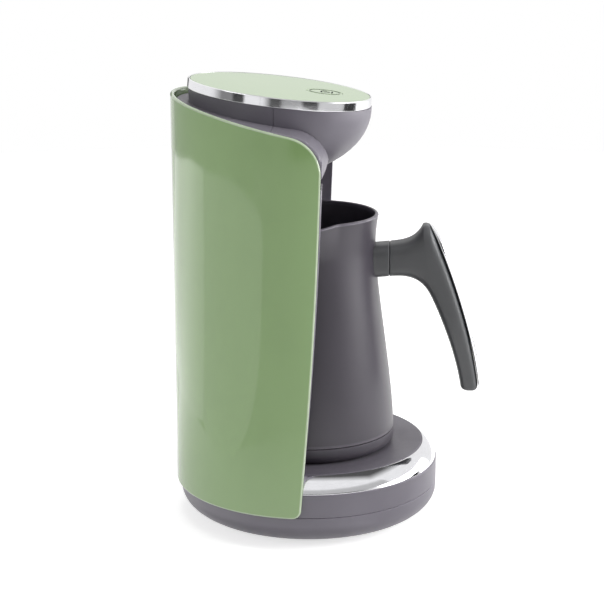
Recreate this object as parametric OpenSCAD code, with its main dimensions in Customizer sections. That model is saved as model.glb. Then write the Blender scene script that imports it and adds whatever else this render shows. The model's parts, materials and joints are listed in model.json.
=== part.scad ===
// Electric Turkish coffee maker: a base with a cordless connector, a curved column with a
// cantilevered head, and a lift-off pot with a spout and a handle.
// Millimetres, +Z up. The origin is the centre of the base on the resting plane.
// The open side and the handle face -Y, the column is at +Y, and the spout points to -X.

/* [Base] */
// Room round the pot's foot in the shallow dish
dish_room = 7.5; // [4:0.5:8]
// Width of the flat tray round the dish
tray_w = 9; // [8:0.5:12]
// Width of the trim ring, seen from above
ring_w = 8; // [7:0.5:9]
// Height of the seam between the base pan and the base shell
seam_z = 19; // [17:0.5:22]
// Width of the curve from the flat bottom to the upright wall
pan_curve_w = 19; // [15:0.5:23]
// Height of the curve from the flat bottom to the upright wall
pan_curve_h = 13.5; // [11:0.5:15]
// Height of the foot of the chrome trim ring
ring_foot_z = 32; // [29:0.5:36]
// Height of the tray around the pot
tray_z = 40.8; // [39:0.2:46]
// Bow of the trim ring's bevel
ring_bow = 1.1; // [0.6:0.1:2]
// Metal thickness of the base trim ring
ring_t = 1.2; // [0.8:0.1:1.6]
// Width of the grey ledge that shows under the trim ring
ring_ledge = 0.4; // [0.2:0.1:0.8]
// Depth of the dish
dish_depth = 0.8; // [0.4:0.1:1.2]

/* [Housing] */
// Wall thickness of the grey mouldings
wall = 2.2; // [1.8:0.1:2.8]
// Thickness of the green cover panel
panel_t = 2.3; // [1.8:0.1:3]
// Gap between mouldings that fit into each other
fit_gap = 0.3; // [0.2:0.05:0.4]
// Gap that shows at a seam between two mouldings
seam_gap = 0.2; // [0.15:0.05:0.4]

/* [Column] */
// How much smaller the hollow's radius is than the base's radius
cheek = 9; // [8:0.5:12]
// Room between the pot's foot and the back of the hollow
niche_room = 3.5; // [2.5:0.5:5]
// Height of the ceiling above the pot's rim
pot_room = 25.3; // [21:0.1:36]
// Height of the panel's rim above the ceiling, over the base's centre
rim_h = 26; // [24:0.5:29]
// Slope of the panel's rim, rising to the rear
rim_slope = 11.9; // [9:0.1:14]
// Distance of the panel's front edge from the base's centre at its foot
edge_foot_y = -0.2; // [-2:0.1:2]
// Distance of the panel's front edge from the base's centre at the shoulder
edge_top_y = -10.2; // [-13:0.1:-8]
// Bow of the panel's front edge
edge_bow = 1.4; // [0.8:0.1:2]
// Radius of the panel's upper front corner
shoulder_r = 20; // [16:0.5:24]
// Radius of the panel's lower front corner
foot_corner_r = 5; // [3:0.5:7]
// Depth of the deck below the panel's rim at the back of the column
deck_drop = 2.9; // [2:0.1:3.5]
// Slope of the deck, rising to the rear
deck_slope = 9.1; // [8.5:0.1:11]
// Distance that the grey edge stands in front of the panel's edge
edge_lead = 0.4; // [0.2:0.1:0.8]
// Distance that the deck sweeps forward where it meets the head
deck_sweep = 1.2; // [0.6:0.2:3]
// Radius of the pegs that hold the cover panel in the rear shell
peg_r = 2; // [1.5:0.1:2.5]

/* [Head] */
// Room between the bowl and the back of the base's outline
bowl_back = 7.2; // [6:0.2:10]
// Height of the head's top above the ceiling, on the head's axis
head_h = 44.2; // [42:0.2:48]
// Tilt of the top, rising to the rear
head_tilt = 6.3; // [4:0.1:9]
// Radius of the head's bowl
bowl_r = 50; // [48:0.5:51]
// Height above the ceiling where the bowl starts to curve in
bowl_h = 33; // [31:0.5:34]
// Depth that the bowl's full curve would have
bowl_depth = 36; // [35:0.5:40]
// How far the chrome head ring stands out from the bowl
ring_proud = 0.5; // [0.2:0.1:1]
// Thickness of the head ring's band
head_ring_t = 1; // [0.8:0.1:1.4]
// Height of the head ring
head_ring_h = 5.2; // [4.6:0.2:6]
// Thickness of the control plate
plate_t = 2; // [1.6:0.1:2.4]

/* [Start key] */
// Radius of the start key
key_r = 9.8; // [8:0.2:12]
// Gap round the start key
key_gap = 0.25; // [0.2:0.05:0.4]
// Distance of the key in front of the head's axis
key_y = 24.5; // [22:0.5:28]
// Travel of the start key
key_travel = 0.8; // [0.5:0.1:1]

/* [Pot] */
// Height of the pot
pot_h = 131.5; // [124:0.5:136]
// Radius of the pot's foot
pot_foot_r = 48.5; // [46:0.5:50]
// Radius of the pot's waist
waist_r = 37; // [34:0.5:39]
// Height of the neck, from the waist to the rim
neck_h = 19.5; // [16:0.5:26]
// Radius of the pot's rim
rim_r = 38.6; // [36:0.2:41]
// Wall thickness of the vessel
pot_wall = 2.2; // [1.6:0.1:2.4]
// Reach of the spout beyond the rim
spout_reach = 9; // [7:0.5:11]
// Half of the angle that the spout takes of the rim
spout_angle = 30; // [26:1:36]
// Length of the spout down the wall
spout_drop = 22; // [18:1:30]
// Depth of the dip in the rim at the spout
spout_dip = 1; // [0.5:0.1:2]
// Height of the vessel's floor above the pot's foot
floor_h = 15.4; // [15:0.2:18]
// Gap between the pot's foot and the tray
pot_gap = 0.2; // [0.1:0.05:0.3]
// Height of the base cap under the vessel
cap_h = 8.8; // [8:0.2:10]
// Radius of the rounded edge of the base cap
cap_edge_r = 4.5; // [3.5:0.5:5]

/* [Connector] */
// Radius of the connector dome
dome_r = 20.5; // [19:0.5:22]
// Height of the dome above the dish
dome_h = 8; // [7:0.2:8.4]
// Radial gap between the dome and the pot's socket
dome_gap = 0.8; // [0.6:0.1:1.2]
// Wall thickness of the pot's socket
socket_wall = 2.2; // [1.8:0.1:2.6]
// Radius of the socket's centre pin
pin_r = 2.2; // [1.8:0.1:2.6]
// Mean radius of the live contact ring
live_ring_r = 7.5; // [6.5:0.1:8.5]
// Mean radius of the earth contact ring
earth_ring_r = 12; // [11:0.1:13]
// Thickness of the contact rings
blade_t = 0.8; // [0.6:0.1:1]
// Gap round each contact in the dome
contact_gap = 0.5; // [0.4:0.05:0.7]

/* [Handle] */
// Reach of the handle boss beyond the pot's waist
boss_reach = 8; // [6:0.5:10]
// Drop of the stub's centre below the pot's rim
stub_drop = 25.5; // [22:0.5:30]
// Width of the stub
boss_w = 20; // [18:0.5:22]
// Height of the stub's section
stub_t = 19; // [16:0.5:20]
// Width of the grip
grip_w = 22; // [18:0.5:26]
// Thickness of the grip at its lower end
grip_t = 10; // [8:0.5:12]
// Reach of the grip's tip beyond the pot's waist
tip_reach = 30.2; // [29:0.2:33]
// Drop of the grip's tip below the pot's rim
tip_drop = 6.5; // [3:0.5:8]
// Reach of the grip's lower end beyond the pot's waist
end_reach = 59; // [54:0.5:63]
// Height of the grip's lower end above the pot's foot
grip_end_h = 32; // [26:0.5:40]
// Thickness of the chrome strip on the grip
strip_t = 2.6; // [2:0.1:3]
// Width of the chrome strip
strip_w = 17; // [14:0.5:20]

/* [Heater] */
// Thickness of the heater plate
heater_t = 3; // [2.4:0.1:3.4]
// How far the heater plate reaches beyond the heating element
heater_margin = 2; // [1:0.5:3]
// Gap between the socket and the heating element
element_gap = 3.5; // [3:0.5:4.5]
// Radius of the heating element's tube
element_tube_r = 3; // [2.5:0.1:3.2]
// Half of the angle that the element leaves open for its terminals
element_gap_a = 30; // [27:1:34]
// Length of the element's terminals
element_pin = 5; // [4:0.5:6]

/* [Electronics] */
// Thickness of the circuit boards
board_t = 1.6; // [1.2:0.1:2]
// Room round the control board in the head
control_room = 7.8; // [6:0.2:10]
// Depth of the control board below the top
control_drop = 9; // [8.6:0.2:11]
// Width of the power board in the base
power_w = 52; // [46:1:54]
// Depth of the power board in the base
power_d = 34; // [32:1:36]
// Height of the posts under the power board
power_lift = 5.3; // [4:0.1:7]
// Size of the relay, the transformer's core and the filter capacitor
relay_size = [15.5, 19, 15.5];
core_size = [18, 22, 17];
capacitor_size = [6.5, 18, 12];
// Radius of the foam sensor's window
window_r = 5; // [4:0.2:6]

/* [Feet, screws and gland] */
// Radius of the rubber feet
foot_r = 7; // [6:0.2:8]
// Height that the feet hold the pan off the table
foot_h = 1.5; // [1:0.1:2.5]
// Distance of the feet and the pan screws from the base's outline
foot_inset = 27; // [26:0.5:31]
// Radius of the housing screws' shanks
screw_r = 1.5; // [1.3:0.1:1.7]
// Gap round a screw
screw_gap = 0.1; // [0.05:0.05:0.2]
// Radius of the bore for the mains lead
gland_bore_r = 3.6; // [3:0.1:4]
// Wall thickness of the gland's sleeve
gland_wall = 2.2; // [1.8:0.1:2.6]
// Height of the gland's centre above the table
gland_z = 10.4; // [10:0.1:11]
// Turn of the gland from the back of the base, away from the spout's side
gland_turn = 35; // [15:1:60]

/* [Hidden] */
$fn = 96;

// Colours
sage = [0.60, 0.69, 0.54];
sage_top = [0.66, 0.74, 0.60];
grey = [0.42, 0.41, 0.43];
dark_grey = [0.30, 0.30, 0.31];
chrome = [0.80, 0.80, 0.82];
black = [0.06, 0.06, 0.07];
rubber = [0.10, 0.10, 0.10];
steel = [0.65, 0.66, 0.68];
brass = [0.78, 0.62, 0.32];
board_green = [0.10, 0.38, 0.22];
white = [0.92, 0.92, 0.90];

// Small amounts that keep cuts clean
over = 1;
far = 200;

// Base levels
pan_z = foot_h;
dish_z = tray_z - dish_depth;
dish_r = pot_foot_r + dish_room;
tray_r = dish_r + tray_w;
base_r = tray_r + ring_w;
pan_flat_r = base_r - pan_curve_w;
foot_ring_r = base_r - foot_inset;
tray_under_z = dish_z - wall;
ring_r = base_r - ring_ledge;
ring_v = 1.6;
tongue_t = 1.5;
tongue_h = 2.5;
post_r = 4.5;
post_top_z = pan_z + wall + 6;
screw_head_r = 2 * screw_r - 0.1;
screw_head_h = 1.8;
power_z = pan_z + wall + power_lift;
power_top = power_z + board_t;
power_y = -power_d / 2 - 22;
terminal_y = power_y + power_d / 2 - 5;
terminal_pitch = 4;
terminal_x = -14;
gland_r = gland_bore_r + gland_wall;
gland_seat_y = base_r - 9;
gland_face_y = base_r - 0.4;
gland_lip = 1.4;
gland_lip_t = 1.8;
gland_boss_r = gland_r + gland_lip + 0.5;

// Connector levels
conn_hole_r = dome_r + 0.2;
conn_seat_t = 3;
conn_seat_r = dome_r + 9.5;
conn_flange_z = tray_under_z - conn_seat_t;
conn_flange_t = 2;
conn_screw_r = dome_r + 5;
conn_body_r = dome_r - 3;
conn_body_z = conn_flange_z - 6;
conn_tail_z = conn_body_z - 6;
groove_w = blade_t + 2 * contact_gap;
groove_depth = 6;
groove_z = dish_z + dome_h - groove_depth;

// Column levels
pot_z = dish_z + pot_gap;
niche_r = base_r - cheek;
niche_y = niche_r - pot_foot_r - niche_room;
niche_back_y = niche_r - niche_y;
ceiling_z = pot_z + pot_h + pot_room;
rim_z = ceiling_z + rim_h;
deck_z = rim_z - deck_drop + (tan(rim_slope) - tan(deck_slope)) * base_r;
head_y = base_r - bowl_back - bowl_r;
head_z = ceiling_z + head_h;
edge_foot_z = seam_z + seam_gap / 2;
column_r = base_r - wall - fit_gap;
panel_in_r = base_r + fit_gap;
panel_r = panel_in_r + panel_t;
split_y = head_y;
column_screw_x = 26;
column_screw_zs = [ring_foot_z + 48, ceiling_z - 47];
column_boss_r = 3.8;
foot_boss_r = 4.2;
foot_boss_ring_r = base_r - 12;
foot_boss_top_z = ring_foot_z + 18;
foot_screw_l = 13;
ribbon_y = niche_back_y + 8;
ribbon_w = 8;
ribbon_slot = [30, 9];
ribbon_z = conn_tail_z - 2.8;

// Head levels, below the top along its own axis
bowl_z = ceiling_z + bowl_h;
head_ring_r = bowl_r + ring_proud;
control_r = bowl_r - wall - control_room;
control_post_r = control_r - 6;
plate_sink = 0.15;
plate_under = plate_sink + plate_t;
plate_r = head_ring_r - head_ring_t - 0.15;
skirt_t = 1.9;
flange_t = 1;
flange_in_r = bowl_r - wall - 0.6;
key_flange_r = key_r + 1.2;
key_flange_t = 0.8;
key_flange_gap = 0.2;
key_stem_r = 3;
plunger_r = 1.75;
switch_h = 3.4;
switch_w = 6.2;
switch_top = control_drop - switch_h;
stem_end = switch_top - key_travel - 0.3;
window_y = head_y - 11.8;
window_flange = [window_r + 0.4, 1];
sensor_z = ceiling_z + wall + 3;
sensor_post_x = window_r + 2.5;

// Pot levels, above its own foot
skirt_r = pot_foot_r - 0.15;
skirt_z = cap_h + 0.2;
waist_h = pot_h - neck_h;
inner_floor_h = floor_h + pot_wall;
cap_tongue_r = skirt_r - pot_wall - 1.3;
cap_tongue_t = 1.4;
cap_floor_t = 1.8;
socket_in_r = dome_r + dome_gap;
socket_r = socket_in_r + socket_wall;
socket_top = floor_h - heater_t;
socket_roof = dome_h + 1.3;
element_r = socket_r + element_gap + element_tube_r;
heater_r = element_r + element_tube_r + heater_margin;
lug_r = 3.6;
lug_ring_r = cap_tongue_r - cap_tongue_t - lug_r - 1.15;
lug_angles = [30, 150, 270];
lug_seat = 5;

// Handle levels, above the pot's foot
boss_y = waist_r + boss_reach;
stub_h = pot_h - stub_drop;
stub_rise = tan(5.7);
handle_screw_h = stub_h + 1;
handle_screw_r = 2;
handle_screw_head_r = 3.4;

// ---- Shapes that repeat ----

// Points on an arc round c
function arc(c, r, a0, a1, n) =
    [for (i = [0 : n]) let (a = a0 + (a1 - a0) * i / n) c + r * [cos(a), sin(a)]];

// Arc from p to q that bows out by s on the right-hand side
function bow(p, q, s, n) =
    let (d = q - p, len = norm(d), r = (len * len / 4 + s * s) / (2 * s),
         side = [d[1], -d[0]] / len, c = (p + q) / 2 - side * (r - s),
         a = atan2(side[1], side[0]), h = asin(len / 2 / r))
    arc(c, r, a - h, a + h, n);

// Point on a cubic curve, and n + 1 points along it
function on_curve(p, t) =
    pow(1 - t, 3) * p[0] + 3 * t * pow(1 - t, 2) * p[1]
    + 3 * t * t * (1 - t) * p[2] + pow(t, 3) * p[3];
function curve(p, n) = [for (i = [0 : n]) on_curve(p, i / n)];

// First coordinate of a falling cubic curve at a height
function reach_at(p, h, t0 = 0, t1 = 1, n = 20) =
    let (t = (t0 + t1) / 2)
    n == 0 ? on_curve(p, t)[0]
           : on_curve(p, t)[1] > h ? reach_at(p, h, t, t1, n - 1) : reach_at(p, h, t0, t, n - 1);
function flip(v) = [for (i = [len(v) - 1 : -1 : 0]) v[i]];
function smooth(t) = let (u = min(max(t, 0), 1)) u * u * (3 - 2 * u);

// Closed skin over a list of rings that have the same number of points
module skin(rings) {
    n = len(rings[0]);
    last = len(rings) - 1;
    points = [for (ring = rings) each ring];
    sides = [for (k = [0 : last - 1], i = [0 : n - 1], half = [0, 1])
        let (a = k * n + i, b = k * n + (i + 1) % n)
        half == 0 ? [a, b, b + n] : [a, b + n, a + n]];
    ends = [[for (i = [n - 1 : -1 : 0]) i], [for (i = [0 : n - 1]) last * n + i]];
    polyhedron(points = points, faces = [for (f = concat(ends, sides)) flip(f)], convexity = 6);
}

// Prism of a side-view outline, given as points [y, z]
module side_prism(points) {
    translate([-far / 2, 0, 0])
        rotate([90, 0, 90])
            linear_extrude(far) polygon(points);
}

// Places children at n even steps on a circle
module around(n, r, start = 0) {
    for (i = [0 : n - 1])
        rotate(start + 360 * i / n) translate([r, 0, 0]) children();
}

// Screw with its head's seat at the origin and its shank along +Z
module screw(r, length, head_r, head_h) {
    rotate_extrude($fn = 32)
        polygon([[0, -head_h], [head_r - 0.4, -head_h], [head_r, -head_h + 0.5], [head_r, 0],
                 [r, 0], [r, length - r], [r / 3, length], [0, length]]);
}

// Round wire swept along a list of points
function unit(v) = v / norm(v);
module wire(points, r, n = 8) {
    last = len(points) - 1;
    skin([for (i = [0 : last])
        let (along = unit(points[min(i + 1, last)] - points[max(i - 1, 0)]),
             side = unit(cross(along, abs(along[2]) > 0.9 ? [0, 1, 0] : [0, 0, 1])),
             up = cross(side, along))
        [for (k = [0 : n - 1]) points[i] + r * (cos(360 * k / n) * side + sin(360 * k / n) * up)]]);
}

// Frame of the tilted top: its origin is the centre of the head ring's top
module head_frame() {
    translate([0, head_y, head_z]) rotate([head_tilt, 0, 0]) children();
}

// ---- Base ----

function pan_curve(inset, n = 10) =
    [for (i = [0 : n]) let (a = 90 * i / n)
        [pan_flat_r + (base_r - inset - pan_flat_r) * sin(a),
         pan_z + inset + (pan_curve_h - inset) * (1 - cos(a))]];

module pan_shell() {
    top_z = seam_z - seam_gap / 2;
    tongue_r = base_r - wall - 0.15;
    rotate_extrude()
        polygon(concat([[0, pan_z]], pan_curve(0),
            [[base_r, top_z], [tongue_r, top_z], [tongue_r, seam_z + tongue_h],
             [tongue_r - tongue_t, seam_z + tongue_h], [tongue_r - tongue_t, top_z - 2],
             [base_r - wall, top_z - 4]],
            flip(pan_curve(wall)), [[0, pan_z + wall]]));
}

// Cylinder along the gland's axis
module gland_round(r, y0, y1) {
    rotate(-gland_turn) translate([0, y0, gland_z]) rotate([-90, 0, 0]) cylinder(r = r, h = y1 - y0);
}

module base_pan() {
    color(grey)
    difference() {
        union() {
            difference() {
                pan_shell();
                gland_round(gland_boss_r, gland_seat_y - 4, base_r + over);
            }
            difference() {
                gland_round(gland_boss_r, gland_seat_y, gland_face_y);
                gland_round(gland_r + 0.1, gland_seat_y - over, base_r);
            }
            around(4, foot_ring_r, 45) translate([0, 0, pan_z]) cylinder(r = post_r, h = post_top_z - pan_z);
            power_posts(pan_z + wall / 2, power_z, 2.4);
            power_posts(pan_z + wall, power_z + board_t + 0.6, 1.1);
        }
        around(4, foot_ring_r, 45) {
            translate([0, 0, -over]) cylinder(r = screw_head_r + 0.3, h = post_top_z - 3 + over);
            cylinder(r = screw_r + screw_gap, h = post_top_z + over);
        }
        around(4, foot_ring_r) translate([0, 0, pan_z - over]) cylinder(r = foot_r + 0.1, h = over + 1);
    }
}

// Posts or pins at the corners of the power board
module power_posts(z0, z1, r) {
    for (x = [-1, 1], y = [-1, 1])
        translate([x * (power_w / 2 - 4), power_y + y * (power_d / 2 - 4), z0])
            cylinder(r = r, h = z1 - z0, $fn = 32);
}

// Plan of the column between its outer wall and the niche
module crescent(outer_r, inner_r, z0, z1) {
    difference() {
        translate([0, 0, z0]) cylinder(r = outer_r, h = z1 - z0);
        translate([0, -niche_y, z0 - over]) cylinder(r = inner_r, h = z1 - z0 + 2 * over);
    }
}

// Side-view outline of the column: lead moves the front edge forward, and top_z is the
// height of its sloping top over the base's centre
function column_side(lead, top_z, slope, foot_z, corner_r, foot_r = 0) =
    let (front = edge_top_y - lead, foot = edge_foot_y - lead,
         cy = front + corner_r, cz = top_z + tan(slope) * cy - corner_r / cos(slope))
    concat([[far / 2, foot_z]],
           foot_r > 0 ? arc([foot + foot_r, foot_z + foot_r], foot_r, 270, 180, 4) : [[foot, foot_z]],
           front_bow(foot, foot_z + foot_r + 0.5, front, cz),
           arc([cy, cz], corner_r, 180, 90 + slope, 8),
           [[far / 2, top_z + tan(slope) * far / 2]]);
function front_bow(y0, z0, y1, z1, n = 8) =
    [for (i = [0 : n - 1]) let (t = i / n)
        [y0 + (y1 - y0) * t - edge_bow * 4 * t * (1 - t), z0 + (z1 - z0) * t]];

function housing_side(lead = 0, drop = 0, foot_z = ring_foot_z) =
    column_side(edge_lead + lead, deck_z - drop, deck_slope, foot_z, shoulder_r);

// Bevel of the trim ring, from its foot to the tray
function bevel(r_in, z_down, foot_z = ring_foot_z) =
    bow([ring_r - r_in, foot_z], [tray_r, tray_z - z_down], ring_bow, 8);

function base_shell_outline() =
    concat([[base_r, seam_z + seam_gap / 2], [base_r, ring_foot_z - 0.6], [ring_r, ring_foot_z]],
           bow([ring_r - ring_t - 0.15, ring_foot_z], [tray_r - 0.15, tray_z - ring_v - 0.15], ring_bow, 8),
           [[tray_r - 0.15, tray_z - 0.3], [tray_r - 0.45, tray_z], [dish_r, tray_z],
            [dish_r - 2, dish_z], [0, dish_z]]);

module base_shell() {
    boss_z0 = post_top_z + 0.1;
    color(grey)
    difference() {
        union() {
            rotate_extrude()
                polygon(concat(base_shell_outline(),
                    [[0, tray_under_z], [tray_r - 3.2, tray_under_z],
                     [tray_r - 1.6, tray_z - ring_v - wall - 1],
                     [base_r - wall - 1.6, ring_foot_z - 0.4], [base_r - wall, ring_foot_z - wall],
                     [base_r - wall, seam_z + seam_gap / 2]]));
            intersection() {
                rotate_extrude() polygon(concat(base_shell_outline(), [[0, ring_foot_z - wall], [base_r, ring_foot_z - wall]]));
                side_prism(housing_side(wall + fit_gap));
                crescent(base_r, niche_r - fit_gap - wall, ring_foot_z - wall, tray_z);
            }
            around(4, foot_ring_r, 45)
                translate([0, 0, boss_z0]) cylinder(r = post_r - 0.5, h = dish_z - boss_z0 - 0.5);
            translate([0, 0, conn_flange_z]) cylinder(r = conn_seat_r, h = conn_seat_t + 0.5);
        }
        intersection() {
            side_prism(housing_side(fit_gap));
            crescent(base_r + 5, niche_r - fit_gap, ring_foot_z, tray_z + over);
        }
        cylinder(r = conn_hole_r, h = far);
        around(4, foot_ring_r, 45) cylinder(r = screw_r + screw_gap, h = boss_z0 + 12);
        around(3, conn_screw_r, 90) cylinder(r = screw_r + screw_gap, h = conn_flange_z + conn_seat_t + 0.5);
        translate([-ribbon_slot[0] / 2, ribbon_y - ribbon_slot[1] / 2, ring_foot_z - wall - over])
            cube([ribbon_slot[0], ribbon_slot[1], far]);
        foot_boss_places() cylinder(r = screw_r + screw_gap, h = far);
    }
}

module foot_boss_places() {
    for (a = [45, 135]) rotate(a) translate([foot_boss_ring_r, 0, 0]) children();
}

module base_trim_ring() {
    color(chrome)
    difference() {
        rotate_extrude()
            polygon(concat(bevel(0, 0), flip(bevel(ring_t, ring_v))));
        side_prism(housing_side(fit_gap, 0, 0));
    }
}

module rubber_feet() {
    color(rubber)
    around(4, foot_ring_r)
        rotate_extrude($fn = 48)
            polygon([[0, 0], [foot_r - 1, 0], [foot_r, 0.6], [foot_r, pan_z + 1], [0, pan_z + 1]]);
}

module base_screws() {
    color(steel)
    around(4, foot_ring_r, 45)
        translate([0, 0, post_top_z - 3]) screw(screw_r, 14, screw_head_r, screw_head_h);
}

module cord_gland() {
    color(rubber)
    rotate(-gland_turn) translate([0, gland_seat_y, gland_z])
        rotate([-90, 0, 0])
            rotate_extrude($fn = 64)
                polygon([[gland_bore_r, -gland_lip_t], [gland_r + gland_lip, -gland_lip_t],
                         [gland_r + gland_lip, 0], [gland_r, 0], [gland_r, gland_face_y - gland_seat_y],
                         [gland_r + gland_lip, gland_face_y - gland_seat_y],
                         [gland_r + gland_lip, gland_face_y - gland_seat_y + 1.2],
                         [gland_r + gland_lip - 0.6, gland_face_y - gland_seat_y + gland_lip_t],
                         [gland_bore_r, gland_face_y - gland_seat_y + gland_lip_t]]);
}

// ---- Power electronics in the base ----

module power_board() {
    color(board_green)
    difference() {
        translate([-power_w / 2, power_y - power_d / 2, power_z]) cube([power_w, power_d, board_t]);
        power_posts(power_z - over, power_top + over, 1.25);
    }
}

// Box that stands on the power board, placed from the board's centre
module on_board(x, y, size) {
    translate([x - size[0] / 2, power_y + y - size[1] / 2, power_top]) cube(size);
}

// The capacitor stands in the gap between the transformer's core and the relay
capacitor_x = 2.9;
core_x = capacitor_x - capacitor_size[0] / 2 - core_size[0] / 2 - 0.65;
relay_x = capacitor_x + capacitor_size[0] / 2 + relay_size[0] / 2 + 0.4;

module relay() {
    color(black) on_board(relay_x, -1.5, relay_size);
}

// Laminated core with a wound middle that leaves its four upright edges free
module transformer() {
    h = core_size[2] - 2.5;
    color(brass)
    union() {
        on_board(core_x, -3, [core_size[0], core_size[1], 3]);
        on_board(core_x, -3, [core_size[0] - 8, core_size[1], h]);
        on_board(core_x, -3, [core_size[0], core_size[1] - 6, h]);
        translate([0, 0, h - 0.5]) on_board(core_x, -3, [core_size[0], core_size[1], 3]);
    }
}

module filter_capacitor() {
    color([0.75, 0.65, 0.15]) on_board(capacitor_x, -3, capacitor_size);
}

function terminal_at(i) = terminal_x + (i - 1) * terminal_pitch;

module terminal_block() {
    color([0.15, 0.40, 0.60]) {
        difference() {
            on_board(terminal_x, terminal_y - power_y, [3 * terminal_pitch, 7, 9]);
            for (i = [0 : 2])
                translate([terminal_at(i), terminal_y, power_top + 5]) cylinder(r = 1.3, h = 5, $fn = 24);
        }
        on_board(0, terminal_y - power_y, [ribbon_w + 2, 6, 5]);
    }
}

// ---- Cordless connector ----

// Height of the dome over the dish at a radius
function dome_at(r) = dome_h * pow(max(0, 1 - pow(r / dome_r, 2.6)), 0.62);

module connector_body() {
    dome = [for (i = [0 : 14]) let (r = dome_r * sin(90 * i / 14)) [r, dish_z + 0.6 + dome_at(r) * (dome_h - 0.6) / dome_h]];
    color(black)
    difference() {
        rotate_extrude()
            polygon(concat([[0, conn_body_z]], dome,
                [[dome_r, conn_flange_z], [conn_seat_r, conn_flange_z],
                 [conn_seat_r, conn_flange_z - conn_flange_t], [conn_body_r, conn_flange_z - conn_flange_t],
                 [conn_body_r, conn_body_z]]));
        translate([0, 0, groove_z - 2]) cylinder(r = pin_r + contact_gap, h = far);
        for (r = [live_ring_r, earth_ring_r])
            translate([0, 0, groove_z]) hoop(r, groove_w, far);
        around(3, conn_screw_r, 90)
            translate([0, 0, conn_body_z - over]) cylinder(r = screw_r + screw_gap, h = far);
    }
}

// Spring leaves at the bottom of the grooves, with tails under the body
module connector_contacts() {
    color(brass) {
        translate([0, 0, groove_z - 2]) cylinder(r = pin_r, h = 1, $fn = 32);
        for (r = [live_ring_r, earth_ring_r])
            translate([0, 0, groove_z]) hoop(r, blade_t, 0.8);
        for (x = contact_xs())
            translate([x - 1, -0.4, conn_tail_z]) cube([2, 0.8, conn_body_z - conn_tail_z]);
    }
}
function contact_xs() = [-earth_ring_r, 0, live_ring_r];

// Upright hoop of mean radius r and wall t
module hoop(r, t, h) {
    difference() {
        cylinder(r = r + t / 2, h = h);
        translate([0, 0, -over]) cylinder(r = r - t / 2, h = h + 2 * over);
    }
}

module connector_screws() {
    color(steel)
    around(3, conn_screw_r, 90)
        translate([0, 0, conn_flange_z - conn_flange_t])
            screw(screw_r, conn_flange_t + conn_seat_t - 0.3, screw_head_r - 0.4, screw_head_h);
}

module connector_leads() {
    z0 = power_top + 5.5;
    color([0.55, 0.12, 0.10])
    for (i = [0 : 2])
        let (x = terminal_at(i))
        wire([[x, terminal_y, z0], [x, terminal_y, z0 + 4.6], [x, terminal_y + 3, z0 + 6.6],
              [contact_xs()[i], -8, conn_tail_z - 0.4], [contact_xs()[i], -1.4, conn_tail_z + 1.6]], 0.9);
}

// ---- Column and head ----

// Block of the head between the ceiling and the deck. Its front sweeps forward to the bowl.
module head_block(inset, z0) {
    front_y = edge_top_y - edge_lead - deck_sweep - 1.6;
    reach = edge_top_y - edge_lead - front_y;
    sweep_r = (base_r * base_r + reach * reach) / (2 * reach);
    intersection() {
        translate([0, 0, z0]) cylinder(r = base_r - inset, h = far / 2);
        translate([0, front_y + sweep_r, z0]) cylinder(r = sweep_r - inset, h = far / 2, $fn = 256);
        side_prism(housing_side(deck_sweep - inset, inset, z0 - over));
    }
}

// Bowl of the head, closed below at the ceiling
module bowl(inset, z0) {
    r = bowl_r - inset;
    depth = bowl_depth - inset;
    t0 = asin(min(1, (bowl_z - z0) / depth));
    translate([0, head_y, 0])
        rotate_extrude()
            polygon(concat([[0, z0]],
                [for (i = [0 : 14]) let (t = t0 * (1 - i / 14)) [r * cos(t), bowl_z - depth * sin(t)]],
                [[r, head_z + 12 + inset], [0, head_z + 12 + inset]]));
}

// Everything above the seat of the head ring
module above_head() {
    head_frame() translate([-far / 2, -far / 2, -head_ring_h]) cube([far, far, far]);
}

module behind(y) {
    translate([-far / 2, y, 0]) cube([far, far, 2 * far]);
}

module front_shell() {
    color(grey)
    difference() {
        union() {
            difference() {
                intersection() {
                    crescent(column_r, niche_r, ring_foot_z + 0.1, ceiling_z + wall);
                    side_prism(housing_side());
                }
                intersection() {
                    crescent(base_r + over, niche_r + wall, ring_foot_z - over, ceiling_z + far);
                    side_prism(housing_side(-wall, 0, 0));
                }
            }
            difference() {
                union() {
                    head_block(0, ceiling_z);
                    bowl(0, ceiling_z);
                }
                union() {
                    head_block(wall, ceiling_z + wall);
                    bowl(wall, ceiling_z + wall);
                }
                behind(split_y - seam_gap / 2);
                above_head();
            }
            intersection() {
                translate([0, -niche_y, ceiling_z]) cylinder(r = niche_r + wall, h = wall);
                behind(split_y - 1);
            }
            column_bosses();
            intersection() {
                foot_boss_places()
                    translate([0, 0, ring_foot_z + 0.1]) cylinder(r = foot_boss_r, h = foot_boss_top_z - ring_foot_z);
                crescent(column_r, niche_r, ring_foot_z, ceiling_z);
            }
            sensor_posts(ceiling_z + wall - 0.5, sensor_z, 1.5);
            sensor_posts(sensor_z - 0.5, sensor_z + 1.8, 0.7);
        }
        foot_boss_places()
            translate([0, 0, ring_foot_z - over]) cylinder(r = screw_r + screw_gap, h = foot_screw_l);
        for (x = [-1, 1], z = column_screw_zs)
            translate([x * column_screw_x, niche_back_y, z])
                rotate([-90, 0, 0]) cylinder(r = screw_r + screw_gap, h = far, $fn = 32);
        translate([0, window_y, ceiling_z - over]) cylinder(r = window_r + 0.1, h = wall + 2 * over);
    }
}

// Posts or pins that hold the sensor board over the ceiling
module sensor_posts(z0, z1, r) {
    for (s = [-1, 1])
        translate([s * sensor_post_x, window_y, z0]) cylinder(r = r, h = z1 - z0, $fn = 24);
}

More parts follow.
